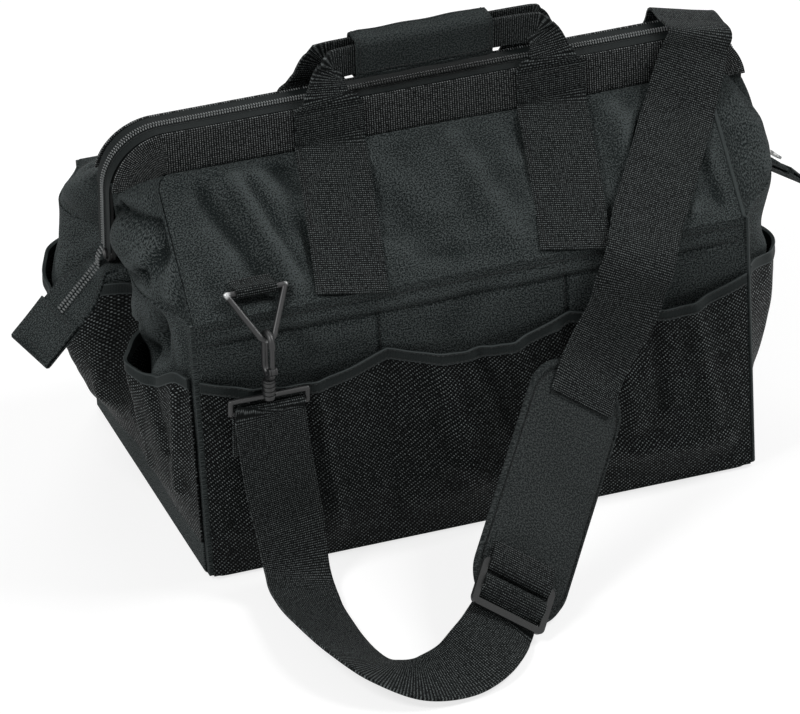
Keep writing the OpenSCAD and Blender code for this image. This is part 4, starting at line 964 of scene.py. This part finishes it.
# zip tails and their folded tabs
tail = {"pitch": 42.0, "turn": {-1: 191.0, 1: 28.0}, "x": 237.4, "z": 190.8, "long": 50.0, "wide": 46.0,
        "root": 24.0, "thick": 2.4, "grip": 8.8, "tabL": 36.0, "tabW": 49.0, "tooth": 1.45}


def tailWay(sx):
    dip, yaw = math.radians(tail["pitch"]), math.radians(tail["turn"][sx])
    return np.array((math.cos(dip) * math.cos(yaw), math.cos(dip) * math.sin(yaw), -math.sin(dip)))


def tailAcross(sx):
    yaw = math.radians(tail["turn"][sx])
    return np.array((-math.sin(yaw), math.cos(yaw), 0.0))


def tailSpot(sx, x, lift=0.0, aside=0.0):
    way, across = tailWay(sx), tailAcross(sx)
    root = np.array((sx * tail["x"], 0, tail["z"]))
    return root + way * x + across * aside + np.cross(way, across) * lift


def track(rows, part=None):                  # a shape that runs along eased rows of place, across, width
    run = lengthAlong(rows[:, :3])
    way = unit(np.gradient(rows[:, :3], axis=0))
    side = unit(rows[:, 3:6] - way * np.sum(rows[:, 3:6] * way, axis=1, keepdims=True))
    first, last = part or (0.0, run[-1])

    def shape(u, v):
        s = mix(first, last, np.asarray(u, float))
        c, w = [np.stack([np.interp(s, run, item[:, i]) for i in range(3)], -1)
                for item in (rows[:, :3], side)]
        wide = np.interp(s, run, rows[:, 6])
        return c + w * ((np.asarray(v) - 0.5) * wide)[..., None]

    return shape, last - first, first, run


def softened(rows, reach, first, last, columns=(3, 4, 5)):
    # evens out how a strap turns, or where it runs, between two of its rows
    made = rows.copy()
    kernel = np.hanning(2 * reach + 1)
    kernel /= kernel.sum()
    for i in columns:
        wide = np.pad(rows[:, i], reach, mode="edge")
        even = np.convolve(wide, kernel, mode="valid")
        fade = smooth((np.arange(len(rows)) - first) / 10) * smooth((last - np.arange(len(rows))) / 10)
        made[:, i] = mix(rows[:, i], even, fade)
    return made


def strip(name, made, thick, moves, nodes=(), look="webbing", across=12, bevel=0.5,
          width=50.0):
    shape, long, first = made[:3]
    piece = sheet(name, max(6, int(long / 2.2)), across, shape, (long, width), thick, side=0.0, bevel=bevel)
    if first:
        shiftUv(piece, first)
    dress(piece, look, moves, nodes)
    return shape


def zipTail(side, sx):
    root = endPoint(sx, np.zeros(1), np.full(1, tail["z"] + tail["thick"] / 2), 0.3)[0]
    across = tailAcross(sx)
    rows = eased([
        ((root[0], 0, tail["z"]), (0, sx, 0), tail["root"]),
        (tailSpot(sx, 0), mix(np.array((0, sx, 0.0)), across, 0.5), tail["root"]),
        (tailSpot(sx, tail["long"] / 4), across, mix(tail["root"], tail["wide"], 0.5)),
        (tailSpot(sx, tail["long"] / 2), across, tail["wide"]),
        (tailSpot(sx, tail["long"]), across, tail["wide"])], 8)
    made = track(rows)
    shape = strip(side + "Tail", made, tail["thick"], "bag", (side + "_zip_tail",), look="fabric",
                  width=tail["wide"], across=14)
    edges = [((0.15, 0.06), (0.86, 0.06)), ((0.15, 0.94), (0.86, 0.94))]
    sewn(side + "TailSeam", "bag", [stitchRow(shape, edges, lift=1.25)])
    end = tail["long"] - tail["grip"] if sx < 0 else 25.8
    count = int(end / 2.1)
    spots = (np.arange(count) + 0.5) / count * end
    rise = tail["thick"] / 2 + 0.75
    places, ways, ups = [], [], []
    for row in (-1, 1):
        for spot in spots:
            places.append(tailSpot(sx, spot + row * 0.35, rise, row * 2.3))
            ways.append(tailWay(sx))
            ups.append(np.cross(tailWay(sx), across))
    # the short drop from the foot of the frames to the tail
    top, low = np.array((sx * 234.6, 0, 205.4)), tailSpot(sx, 0, rise)
    steps = int(np.linalg.norm(top - low) / 2.2)
    for row in (-1, 1):
        for k in range(steps):
            t = (k + 0.5) / steps
            bend = np.array((sx * 1.6 * math.sin(math.pi * t), 0, 0))
            places.append(mix(top, low, t) + bend + np.array((0, row * 1.62, 0)))
            ways.append(unit(low - top))
            ups.append(np.array((sx, 0, 0.2)))
    rows = [np.array(part) for part in (places, ways, ups)]
    piece = scattered(side + "TailCoil", tooth(tail["tooth"]), *rows)
    dress(piece, "coil", "bag")


def tailTab(side, sx):                       # cloth folded over the tail's end and sewn through
    near, far = tail["long"] - tail["grip"], tail["long"] - tail["grip"] + tail["tabL"] - 2.1
    across = tailAcross(sx)
    spread = 1.35
    rows = [(tailSpot(sx, near, -1.9), across, tail["tabW"]),
            (tailSpot(sx, mix(near, far, 0.5), -spread), across, tail["tabW"]),
            (tailSpot(sx, far - 1, -spread), across, tail["tabW"]),
            (tailSpot(sx, far + 0.6, -0.8), across, tail["tabW"]),
            (tailSpot(sx, far + 1.0, 0), across, tail["tabW"]),
            (tailSpot(sx, far + 0.6, 0.8), across, tail["tabW"]),
            (tailSpot(sx, far - 1, spread), across, tail["tabW"]),
            (tailSpot(sx, mix(near, far, 0.5), spread), across, tail["tabW"]),
            (tailSpot(sx, near, 1.9), across, tail["tabW"])]
    made = track(eased(rows, 6))
    shape = strip(side + "Tab", made, 1.5, "bag", (side + "_tail_tab",), look="fabric",
                  width=tail["tabW"], bevel=0.45)
    box = [((0.60, 0.08), (0.60, 0.92)), ((0.96, 0.08), (0.96, 0.92)), ((0.60, 0.08), (0.96, 0.08)),
           ((0.60, 0.92), (0.96, 0.92))]
    sewn(side + "TabSeam", "bag", [stitchRow(shape, box, lift=-0.85)])


for tailSide, tailSign in ends:
    zipTail(tailSide, tailSign)
    tailTab(tailSide, tailSign)
print("zip tails made")

# handles
web = {"wide": 50.0, "thick": 2.0}
lie = bag["clear"] + web["thick"] / 2
handle = {"shift": 5.5, "span": 163.0, "grip": 318.0, "gripW": 22.0, "gripT": 4.4, "loopZ": 290.8}
leanTan = math.tan(math.radians(mouth["lean"]))
leanCos = math.cos(math.radians(mouth["lean"]))
bandFace = mouth["bandY"] + mouth["bandT"] / leanCos


def bandAt(z): return bandFace + (tapeZ - z) * leanTan + lie / leanCos


def onShoulder(sy, x, v, out): return shoulderPoint(sy, np.array([x]), np.array([v]), out)[0]


def legX(sx, v): return handle["shift"] + sx * handle["span"] / 2 - 2 * bag["lean"] * (1 - v)


def handleLegs(side, sy):
    knee = bag["bandFoot"][1] + web["thick"]
    for word, sx in (("Left", -1), ("Right", 1)):
        route = [(onShoulder(sy, legX(sx, v), v, lie + bag["clear"]), (sy, 0, 0), web["wide"])
                 for v in (0, 0.25, 0.5, 0.75, 0.93)]
        route += [((legX(sx, 1), sy * bandAt(z), z), (sy, 0, 0), web["wide"])
                  for z in (knee + 1, mix(knee, handle["loopZ"], 0.5), handle["loopZ"] - 0.1)]
        made = track(eased(route, 8))
        nodes = (side + "_handle_legs",) if sx < 0 else ()
        shape = strip(side + "Leg" + word, made, web["thick"], side, nodes)
        lines = [((0.02, 0.06), (0.98, 0.06)), ((0.02, 0.94), (0.98, 0.94)), ((0.03, 0.08), (0.03, 0.92)),
                 ((0.36, 0.08), (0.36, 0.92)), ((0.03, 0.08), (0.36, 0.92)), ((0.36, 0.08), (0.03, 0.92)),
                 ((0.64, 0.08), (0.64, 0.92)), ((0.97, 0.1), (0.97, 0.9))]
        sewn(side + "LegSeam" + word, side, [stitchRow(shape, lines, lift=1.1 * faceSign(shape, sy))])


def faceSign(shape, sy):                     # +1 where the strip's normal already looks out of the bag
    middle = np.array([0.5])
    return 1.0 if faceWay(shape, middle, middle, 0.01)[0][1] * sy > 0 else -1.0


def handleLoop(side, sy):                    # the webbing narrows on its way from the legs to the grip
    foot = handle["loopZ"] + 0.1
    gripY = 20.0 / 2 - 2.0 - bag["clear"] - handle["gripT"] / 2
    legY = bandAt(handle["loopZ"])
    w, t, span = web["wide"], web["thick"], handle["span"]
    half = [(span / 2, legY, foot, (1, 0, 0), w), (span / 2, legY, foot + 2 * t, (1, 0, 0), w * 0.9),
            (span / 2, mix(legY, gripY, 0.2), foot + 5 * t, (1, 0, 0), w * 0.6),
            (span / 2 - 2 * t, mix(legY, gripY, 0.6), handle["grip"] - 2 * t, (1, 0, -1), handle["gripW"]),
            (50 + handle["gripW"] / 2, gripY, handle["grip"], (0, 0, -1), handle["gripW"])]
    route = []
    for sx in (-1, 1):
        for px, py, pz, across, wide in (half if sx < 0 else half[::-1]):
            route.append(((handle["shift"] + sx * px, sy * py, pz), (-sx * across[0], 0, across[2]), wide))
    strip(side + "HandleLoop", track(eased(route, 10)), 2.6, side + "Grip", (side + "_handle_loop",),
          width=web["wide"] * 0.6, bevel=0.6)


for handleSide, handleSign in sides:
    handleLegs(handleSide, handleSign)
    handleLoop(handleSide, handleSign)

# the wrap round both grips
wrap = {"x": -2.833, "z": 318.0, "long": 100.0, "high": 31.0, "deep": 20.0, "thick": 2.0, "round": 5.0}


def wrapEdge(a):                             # a from 0 at the bottom front, round the front and top, to 1
    r, halfD, halfH = wrap["round"], wrap["deep"] / 2, wrap["high"] / 2
    points = [(-halfD, r - halfH)]
    for i, (y, z) in enumerate(((-1, 1), (1, 1), (1, -1), (-1, -1))):
        for k in range(9):
            angle = math.pi - math.pi / 2 * (i + k / 8)
            points.append((y * (halfD - r) + r * math.cos(angle), z * (halfH - r) + r * math.sin(angle)))
    ring = np.array(points)
    run = lengthAlong(ring)
    return np.stack([np.interp(a * run[-1], run, ring[:, i]) for i in range(2)], -1), run


wrapRun = wrapEdge(np.zeros(1))[1]
wrapTopEnd = wrapRun[10] / wrapRun[-1]       # the hinge line: the top's rear edge


def wrapPiece(name, first, last, moves, node):
    def shape(u, v):
        a = mix(first, last, v)
        ring = wrapEdge(a)[0]
        x = wrap["x"] + (u - 0.5) * wrap["long"]
        out = unit(ring + 1e-6)
        end = smooth(np.minimum(u, 1 - u) * 12)
        swell = (0.5 * np.sin(u * 5 + a * 6) * np.sin(a * turn) + 0.3 * np.sin(u * 17 + 3 * a)) * end \
            - 0.4 * (1 - end)
        return stack(x, ring[:, 0] + out[:, 0] * swell, wrap["z"] + ring[:, 1] + out[:, 1] * swell)
    size = (wrap["long"], wrapRun[-1] * (last - first))
    piece = sheet(name, 60, 44, shape, size, wrap["thick"], bevel=0.5)
    dress(piece, "wrapFabric", moves, (node,))
    return shape


wrapFront = wrapPiece("gripWrap", 0.0, wrapTopEnd - 0.004, "front_handle", "handle_wrap")
wrapBack = wrapPiece("gripFlap", wrapTopEnd + 0.004, 0.997, "wrap_flap", "wrap_flap")
hem = [((0.025, 0.02), (0.025, 0.98)), ((0.975, 0.02), (0.975, 0.98)), ((0.025, 0.05), (0.975, 0.05))]
sewn("wrapSeam", "front_handle", [stitchRow(wrapFront, hem, lift=0.1)])
sewn("flapSeam", "wrap_flap", [stitchRow(wrapBack, hem[:2], lift=0.1)])
print("handles made")

# shoulder pad and adjuster's webbing
pad = {"mid": (13.0, -196.0, 66.99), "lie": 45.0, "slant": 35.0, "turn": 12.0, "long": 190.0, "wide": 76.0,
       "thick": 12.0, "edge": 5.0, "round": 30.0}
padLie, padSlant, padTurn = [math.radians(pad[k]) for k in ("lie", "slant", "turn")]
padAcross = np.array((math.cos(padSlant) * math.cos(padTurn), -math.cos(padSlant) * math.sin(padTurn),
                      -math.sin(padSlant)))
padUp = np.array((
    math.sin(padLie) * math.sin(padSlant) * math.cos(padTurn) + math.cos(padLie) * math.sin(padTurn),
    math.cos(padLie) * math.cos(padTurn) - math.sin(padLie) * math.sin(padSlant) * math.sin(padTurn),
    math.sin(padLie) * math.cos(padSlant)))
padFace = np.cross(padAcross, padUp)


def onPad(x, y, z):
    x, y, z = [np.asarray(part, float)[..., None] for part in (x, y, z)]
    return np.array(pad["mid"]) + padAcross * x + padUp * y + padFace * z


def padDome(share): return pad["edge"] + (pad["thick"] - pad["edge"]) * (1 - np.abs(share) ** 4)


def padRim(a):                               # the rounded outline, a from 0 to 1 all round
    r = pad["round"]
    w, l = pad["wide"] / 2 - r, pad["long"] / 2 - r
    arc = math.pi / 2 * r
    total = 4 * (w + l + arc)
    s = (np.asarray(a, float) % 1) * total
    x, y = np.zeros_like(s), np.zeros_like(s)
    start = 0.0
    for i, (cx, cy) in enumerate(((w, l), (-w, l), (-w, -l), (w, -l))):
        out = math.pi / 2 * i
        straight = 2 * (w if i % 2 else l)
        here = (s >= start) & (s <= start + straight)
        back = start + straight - s[here]
        x[here] = cx + r * math.cos(out) + back * math.sin(out)
        y[here] = cy + r * math.sin(out) - back * math.cos(out)
        start += straight
        here = (s >= start) & (s <= start + arc)
        angle = out + (s[here] - start) / r
        x[here], y[here] = cx + r * np.cos(angle), cy + r * np.sin(angle)
        start += arc
    return x, y, total


def cushion():
    # one closed shell: rings from the middle of the top, over the bound edge, to the middle of the back
    def shape(u, v):
        x, y, _ = padRim(u)
        top = v < 0.62
        k = np.where(top, v / 0.62, (1 - v) / 0.38)             # 0 in the middle, 1 at the rim
        k = np.clip(k, 0, 1)
        share = np.where(k < 0.86, k / 0.86 * 0.905, mix(0.905, 1.0, (k - 0.86) / 0.14))
        sx, sy = x * share, y * share
        dome = padDome(share)
        groove = -1.5 * np.exp(-((share - 0.905) / 0.018) ** 2)
        roll = 0.9 * np.exp(-((share - 0.955) / 0.03) ** 2)
        lift = np.where(top, dome + groove + roll, 0.35 + 0.5 * smooth((share - 0.9) / 0.1))
        edge = smooth((share - 0.97) / 0.03)
        mid = pad["edge"] * 0.5
        lift = mix(lift, mid, edge)
        quilt = creases(sx, sy, [(-30, 40, 25, 20, 7, -0.5), (-20, -10, 28, -30, 8, 0.4),
                                 (10, 70, -24, 60, 6, -0.5), (-28, -55, 10, -48, 7, -0.5)])
        soft = (ripple(stack(sx, sy, 0 * sx), 24, 2.0) * 0.45 + quilt) * (1 - share ** 6)
        lift = lift + np.where(top, soft, 0)
        return onPad(sx, sy, lift)

    around = padRim(np.zeros(1))[2]
    piece = sheet("shoulderPad", 200, 74, shape, (around, 90))
    layer = piece.data.uv_layers.active               # UV flat across the pad, so its weave runs straight
    points = corners(piece) / mm - np.array(pad["mid"])
    flat = np.stack([points @ padAcross, points @ padUp], -1) * mm
    index = np.empty(len(piece.data.loops), int)
    piece.data.loops.foreach_get("vertex_index", index)
    layer.data.foreach_set("uv", flat[index].ravel())
    edited(piece, lambda: bpy.ops.mesh.remove_doubles(threshold=0.00002),
           lambda: bpy.ops.mesh.normals_make_consistent(inside=False))
    alone(piece)
    bpy.ops.object.shade_smooth()
    dress(piece, "padFabric", "bag", ("shoulder_pad",))

    def top(u, v):                            # for the stitches: u round the rim, v from rim to middle
        x, y, _ = padRim(u)
        share = 1 - v
        return onPad(x * share, y * share, padDome(share))
    ring = [((0.0, 0.095), (1.0, 0.095))]
    sewn("padSeam", "bag", [stitchRow(top, ring, lift=-0.9, pitch=3.2)])


cushion()

adjuster = {"x": -7.6, "y": 34.0 / 3 - 95, "bar": 34.0 / 7, "thick": 3.0}
adjuster["slot"] = (34.0 - 3 * adjuster["bar"]) / 2
adjuster["pitch"] = adjuster["bar"] + adjuster["slot"]
upperBar, lowerBar = adjuster["y"] + adjuster["pitch"], adjuster["y"] - adjuster["pitch"]
loopSewn = upperBar + adjuster["pitch"]
adjusterZ = float(padDome(-2 * loopSewn / pad["long"])) + 0.3 + web["thick"] + 0.3
underZ, overZ = adjusterZ - 1.3, adjusterZ + adjuster["thick"] + lie
slideZ = adjusterZ + adjuster["thick"] / 2


def acrossPad(y, z): return (onPad(adjuster["x"], y, z), padAcross, web["wide"])


def padLoop():
    edge = adjuster["bar"] / 2
    reach = edge + 0.3 + web["thick"]
    route = [acrossPad(loopSewn + 1.5, underZ - 0.1), acrossPad(upperBar - edge, underZ),
             acrossPad(upperBar - reach, mix(underZ, slideZ, 0.66)),
             acrossPad(upperBar - reach, mix(overZ, slideZ, 0.66)), acrossPad(upperBar - edge, overZ),
             acrossPad(upperBar + edge + 0.3, overZ), acrossPad(loopSewn + 1.5, underZ + 2.3)]
    made = track(eased(route, 5))
    shape = strip("padLoop", made, web["thick"], "bag", ("pad_loop",))
    lines = [((0.93, 0.06), (0.93, 0.94)), ((0.97, 0.06), (0.97, 0.94))]
    sewn("padLoopSeam", "bag", [stitchRow(shape, lines, lift=-1.1)])


padLoop()
print("pad made")

# ring tabs
ring = {"x": 164.0, "bar": 42.0, "r": 2.1, "loop": 4.3, "up": 0.12}
plateT = 1.5 * web["thick"]
ringOut = 0.3 + plateT + ring["loop"] - web["thick"] / 3
ringAt = onShoulder(-1, -ring["x"], ring["up"], ringOut)
slopeAngle = math.atan2(slopeRise, slopeRun)


def turned(points, sy): return points if sy < 0 else points * np.array((-1, -1, 1))


def ringTab(side, sy):                       # the sewn plate runs up the slope and folds round the bar
    wide = ring["bar"] - 2 * (ring["r"] + ring["loop"])
    c, s = math.cos(slopeAngle), math.sin(slopeAngle)
    foot = 3 * ring["r"]
    mid = ring["loop"] - 0.9

    def at(y, z):
        return turned(ringAt + np.array((0, y * c - z * s, y * s + z * c)), sy)
    low = 0.6 - ringOut
    route = [at(2 * foot, low + 0.9), at(foot, low + 0.9), at(0.3 * foot, -mid)]
    for k in range(1, 8):
        angle = math.radians(-90 - 180 * k / 8)
        route.append(at(mid * math.cos(angle), mid * math.sin(angle)))
    route += [at(0.2 * foot, mid * 0.96), at(foot, mix(low, mid, 0.45)), at(1.5 * foot, low + 2.2),
              at(2 * foot, low + 2.1)]
    made = track(eased([(p, (-sy, 0, 0), wide) for p in route], 4))
    shape = strip(side + "RingTab", made, 1.1, side, (side + "_ring_tab",), across=8, width=wide,
                  bevel=0.35)
    lines = [((0.86, 0.08), (0.86, 0.92)), ((0.97, 0.08), (0.97, 0.92))]
    sewn(side + "RingTabSeam", side, [stitchRow(shape, lines, lift=-0.7)])


for sideWord, sideSign in sides:
    ringTab(sideWord, sideSign)

# shoulder strap
hookY = ringAt[1] - 35 * math.sin(math.radians(43))
hook = {"top": 189.912, "low": 171.912, "eye": 148.812, "eyeLow": 139.812, "reach": 2 + lie + 0.15}
# shares of half the length, half the depth and the wall's height, then the way across
floorStations = [
    (-0.78, 1.16, 0.41, -1, 0.05, 0), (-0.75, 1.18, 0.22, -1, -0.05, 0),
    (-0.75, 1.31, 0.075, -0.97, -0.20, 0.15),
    (-0.765, 1.55, 0.052, -0.92, -0.2, 0.28), (-0.765, 1.85, 0.064, -0.85, -0.30, 0.38),
    (-0.74, 2.13, 0.067, -0.72, -0.55, 0.41), (-0.68, 2.33, 0.055, -0.45, -0.83, 0.28),
    (-0.57, 2.45, 0.038, -0.18, -0.98, 0), (-0.44, 2.46, 0.045, 0.1, -0.96, -0.22),
    (-0.325, 2.385, 0.08, 0.58, -0.68, -0.44)]


def strapShort():
    x, right = -ring["x"], (-1, 0, 0)
    edge = (adjuster["bar"] + web["thick"]) / 2
    low = hook["eyeLow"]
    route = [((x, hookY + hook["reach"], low - 36), right, 50)]
    route += [((x, hookY + hook["reach"] * math.cos(a), low + hook["reach"] * math.sin(a)), right, 50)
              for a in np.radians(range(0, 181, 30))]
    route += [((x, hookY - hook["reach"], low - 9), right, 50)]
    route += [((p[0] * bag["halfL"], -p[1] * bag["halfD"], p[2] * bag["wallH"]), p[3:], 50)
              for p in floorStations]
    route += [acrossPad(lowerBar - edge, underZ - 0.6), acrossPad(lowerBar + edge, underZ),
              acrossPad(adjuster["y"] - edge, overZ),
              acrossPad(adjuster["y"] + edge, overZ), acrossPad(adjuster["y"] + edge + 4, underZ + 0.3)]
    rows = softened(eased(route, 10), 9, 95, 185)
    run = track(rows)[3]
    turnAt = run[int(np.argmin(np.where(np.arange(len(rows)) < 120, np.abs(rows[:, 2] - 45), 999)))]
    strip("strapHang", track(rows, (0.0, turnAt)), web["thick"], "frontHang", ("strap_short",))
    strip("strapFloor", track(rows, (turnAt, run[-1])), web["thick"], "bag")


def strapLong():
    left = (-1, 0, 0)
    rise = [onShoulder(-1, mix(123, 199, share), v, lie + 2.6)
            for v, share in ((0.12, 0), (0.37, 0.26), (0.61, 0.5), (0.82, 0.7))]
    fall = [onShoulder(1, share * 203, v, lie + 1.2 + i * 0.3 + (plateT if i == 3 else 0))
            for i, (share, v) in enumerate(((0.94, 0.85), (0.93, 0.6), (0.90, 0.38), (0.87, 0.25)))]
    overTab = onShoulder(1, ring["x"] + 2, ring["up"], ringOut + ring["loop"] + 0.3 + 2)
    normal = unit(np.array((0, -slopeRise, slopeRun)))
    hangY = -hookY + 7.5 + 2.3 + 2 + lie
    crown, down, reach = mouth["top"] + lie, tapeZ - 29 / 3, hook["reach"]
    sewnL = 30.0
    sewnZ = float(padDome(1 - 2 * sewnL / pad["long"])) + lie
    slope = np.array((1, 0, -0.25))
    route = [(onPad(0, 95 - sewnL, sewnZ), -padAcross, 50),
             (onPad(0, 95 - sewnL / 2, sewnZ), -padAcross, 50),
             (onPad(2, 95 + sewnL / 3, 12), -padAcross, 50),
             ((96.75, -120 * 1.17, 205 * 0.84), -padAcross, 50),
             ((103, -120 * 1.14, 205 * 0.975), (-0.85, 0.4, 0.3), 50)]
    for i, point in enumerate(rise):
        goes = rise[min(i + 1, 3)] - rise[max(i - 1, 0)]
        route.append((point, np.cross(normal, goes), 50))
    route += [((193, -bandAt(down) - 4, down), (-0.87, 0, 0.5), 50),
              ((199, -bandFace - 2, crown), -slope, 50), ((199, 0, crown + 1), -slope, 50),
              ((199, bandFace + 2, crown), -slope, 50),
              ((197, bandAt(down) + 4, down), (-0.97, 0, 0.25), 50)]
    split = len(route) - 3
    route += [(point, left, 50) for point in fall]
    x = ring["x"]
    route += [(overTab, left, 50),
              ((x + 8, mix(overTab[1], hangY, 2 / 3), mix(overTab[2], hook["top"], 1 / 3)), left, 50),
              ((x + 8, hangY, hook["top"] + 2), left, 50), ((x + 6, hangY + 2, hook["eye"]), left, 50),
              ((x + 4, hangY, 205 * 0.42), left, 50), ((x + 2, hangY - 2, 205 * 0.28), left, 50),
              ((x + 2, mix(hangY - 2, reach - hookY, 0.5), 205 * 0.24), left, 50),
              ((x, reach - hookY, 205 * 0.28), left, 50), ((x, reach - hookY, 205 * 0.42), left, 50),
              ((x, reach - hookY, hook["eyeLow"]), left, 50)]
    tab, low = split + 3 + len(fall), len(route) - 4
    route += [((x, reach * math.cos(a) - hookY, hook["eyeLow"] + reach * math.sin(a)), left, 50)
              for a in np.radians(range(30, 181, 30))]
    route += [((x, -reach - hookY, hook["eyeLow"] - 36), left, 50)]
    steps = 10
    rows = softened(eased(route, steps), 26, 15, 9 * steps + 5)
    rows = softened(rows, 16, 25, 8 * steps + 5, (0,))
    rows = softened(rows, 9, 9 * steps, (split + 6) * steps)
    run = track(rows)[3]
    atTop, atTab, atLow = run[split * steps], run[tab * steps], run[low * steps]
    first = strip("strapRise", track(rows, (0.0, atTop)), web["thick"], "front", ("strap_long",))
    strip("strapFall", track(rows, (atTop, atTab)), web["thick"], "rear")
    strip("strapDrop", track(rows, (atTab, atLow)), web["thick"], "rearDrop")
    strip("strapEye", track(rows, (atLow, run[-1])), web["thick"], "rear_ring")
    reachU = sewnL / atTop
    box = [((0.004, 0.08), (0.004, 0.92)), ((reachU * 0.85, 0.08), (reachU * 0.85, 0.92)),
           ((0.004, 0.08), (reachU * 0.85, 0.92)), ((reachU * 0.85, 0.08), (0.004, 0.92)),
           ((0.004, 0.08), (reachU * 0.85, 0.08)), ((0.004, 0.92), (reachU * 0.85, 0.92))]
    sewn("strapSeam", "bag", [stitchRow(first, box, lift=-1.1)])


strapShort()
strapLong()
print("straps made")

# seams on the walls
def wallSeams(side):
    rows = [((0.01, 0.972), (0.99, 0.972)), ((0.01, 0.912), (0.99, 0.912)),
            ((0.327, 0.02), (0.327, 0.98)), ((0.665, 0.02), (0.665, 0.98))]
    sewn(side + "WallSeam", "bag", [stitchRow(wallShapes[side], rows, lift=0.1)])
    lines = [((0.004, 0.16), (0.996, 0.16)), ((0.004, 0.84), (0.996, 0.84))]
    sewn(side + "BindSeam", "bag", [stitchRow(bindShapes[side], lines, lift=0.15)])


for sideWord, _ in sides:
    wallSeams(sideWord)


def piping(name, points, across, moves):
    rows = eased([(point, across, 2.6) for point in points], 10)
    strip(name, track(rows), 1.6, moves, look="piping", width=1.8, across=3, bevel=0.5)


def rightPiping(side, sy):
    cornerLine = [endPoint(1, np.array([sy * 1.0]), np.array([z]), 0)[0] + np.array((0.3, sy * 0.3, 0))
                  for z in (3.4, 55, 110, 160, 204.5)]
    piping("right" + side.title() + "CornerPiping", cornerLine, (0.7, sy * -0.7, 0), "bag")
    seamLine = []
    for rise in (0.0, 0.2, 0.4, 0.6, 0.8, 0.93):
        point = shoulderPoint(sy, np.array([230.0]), np.array([rise]), 0.5)[0]
        point[0] = shoulderSide(1, np.array([rise]))[0] + 0.6
        seamLine.append(point)
    piping("right" + side.title() + "SeamPiping", seamLine, (1, 0, 0), side + "Side")


for sideWord, sideSign in sides:
    rightPiping(sideWord, sideSign)
print("seams sewn")

# finishes of the parts that come from the frame
def blackMetal(name, spots=()):
    return metalLook(name, (0.007, 0.0075, 0.008), (0.5, 0.51, 0.51), 0.72, 0.3, spots=spots)


ringSpots = [((-186, -111, 219), 4.5), ((-142, -111, 219), 2.5), ((-164, -136, 192), 3)]
hookSpots = [((-164, -135, 195), 3), ((-164, -143, 172), 3)]


def flipped(spots): return [((-a, -b, c), r) for (a, b, c), r in spots]


nodeLooks = {
    "front_ring": blackMetal("frontRingMetal", ringSpots),
    "rear_ring": blackMetal("rearRingMetal", flipped(ringSpots)),
    "front_snap_hook": blackMetal("frontHookMetal", hookSpots),
    "rear_snap_hook": blackMetal("rearHookMetal", flipped(hookSpots)),
}
plainMetal = blackMetal("swivelMetal")
for nodeName in ("front_hook_gate", "rear_hook_gate", "front_swivel", "rear_swivel", "zip_slider",
                 "left_hinge_rivet", "right_hinge_rivet"):
    nodeLooks[nodeName] = plainMetal
nodeLooks["zip_pull"] = looks["pull"]
nodeLooks["strap_adjuster"] = looks["plastic"]
nodeLooks["base_board"] = looks["board"]
for nodeName in ("front_frame", "rear_frame"):
    nodeLooks[nodeName] = looks["steel"]
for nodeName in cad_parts:
    made = bpy.data.objects.get(nodeName)
    if made and nodeName in nodeLooks:
        made.data.materials.clear()
        made.data.materials.append(nodeLooks[nodeName])

# floor, backdrop and lamps
studio = {"shown": (1.0, 1.0, 1.0), "key": 30, "fill": 26, "back": 14, "air": 0.14, "glow": 0.62,
          "white": 1.24, "floor": 40.0}


def floorLook():
    look = Look("paleFloor")
    seen = look.seen()
    spot = look.place("Object")[1]
    grain = look.speckle(spot, 6.0, 2.0)
    base = look.blend(grain, rgba((0.92, 0.92, 0.92)), rgba((0.95, 0.95, 0.95)))
    shader = look.node("BsdfPrincipled", None,
                       {"Base Color": base, "Roughness": 0.9, "Specular IOR Level": 0.1})
    glow = look.node("Emission", None, {"Color": rgba(studio["shown"]), "Strength": studio["white"]})
    both = look.node("MixShader", None, {0: seen * studio["glow"], 1: look.out(shader), 2: look.out(glow)})
    look.node("OutputMaterial", None, {0: look.out(both)})
    return look.material


def studioSet():
    alone()
    bpy.ops.mesh.primitive_grid_add(x_subdivisions=20, y_subdivisions=20, size=studio["floor"])
    floor = bpy.context.object
    floor.name = "studioFloor"
    setCorners(floor, corners(floor) + np.array((0, 0, -0.4)) * mm)
    floor.data.materials.append(floorLook())
    world = bpy.data.worlds.new("studioAir")
    bpy.context.scene.world = world
    world.use_nodes = True
    sky = Look("studioSky", world)           # white to the eye and in reflections, dim as a source of light
    shown = sky.seen()
    back = sky.node("Background", None, {"Color": rgba(studio["shown"]),
                                         "Strength": shown * (1.0 - studio["air"]) + studio["air"]})
    sky.node("OutputWorld", None, {0: sky.out(back)})
    for name, spot, size, power in (("keyLamp", (1.6, -0.4, 2.2), 0.8, studio["key"]),
                                    ("fillLamp", (-1.7, -0.5, 2.0), 0.7, studio["fill"]),
                                    ("backLamp", (0.4, 1.8, 2.0), 1.4, studio["back"])):
        bpy.ops.object.light_add(type="AREA", location=spot)
        lamp = bpy.context.object
        lamp.name = name
        lamp.data.size = size
        lamp.data.energy = power
        aim = Vector((0, 0, 0.15)) - Vector(spot)
        lamp.rotation_euler = aim.to_track_quat("-Z", "Y").to_euler()


studioSet()
bpy.context.scene.view_settings.view_transform = "Standard"
print("studio set")
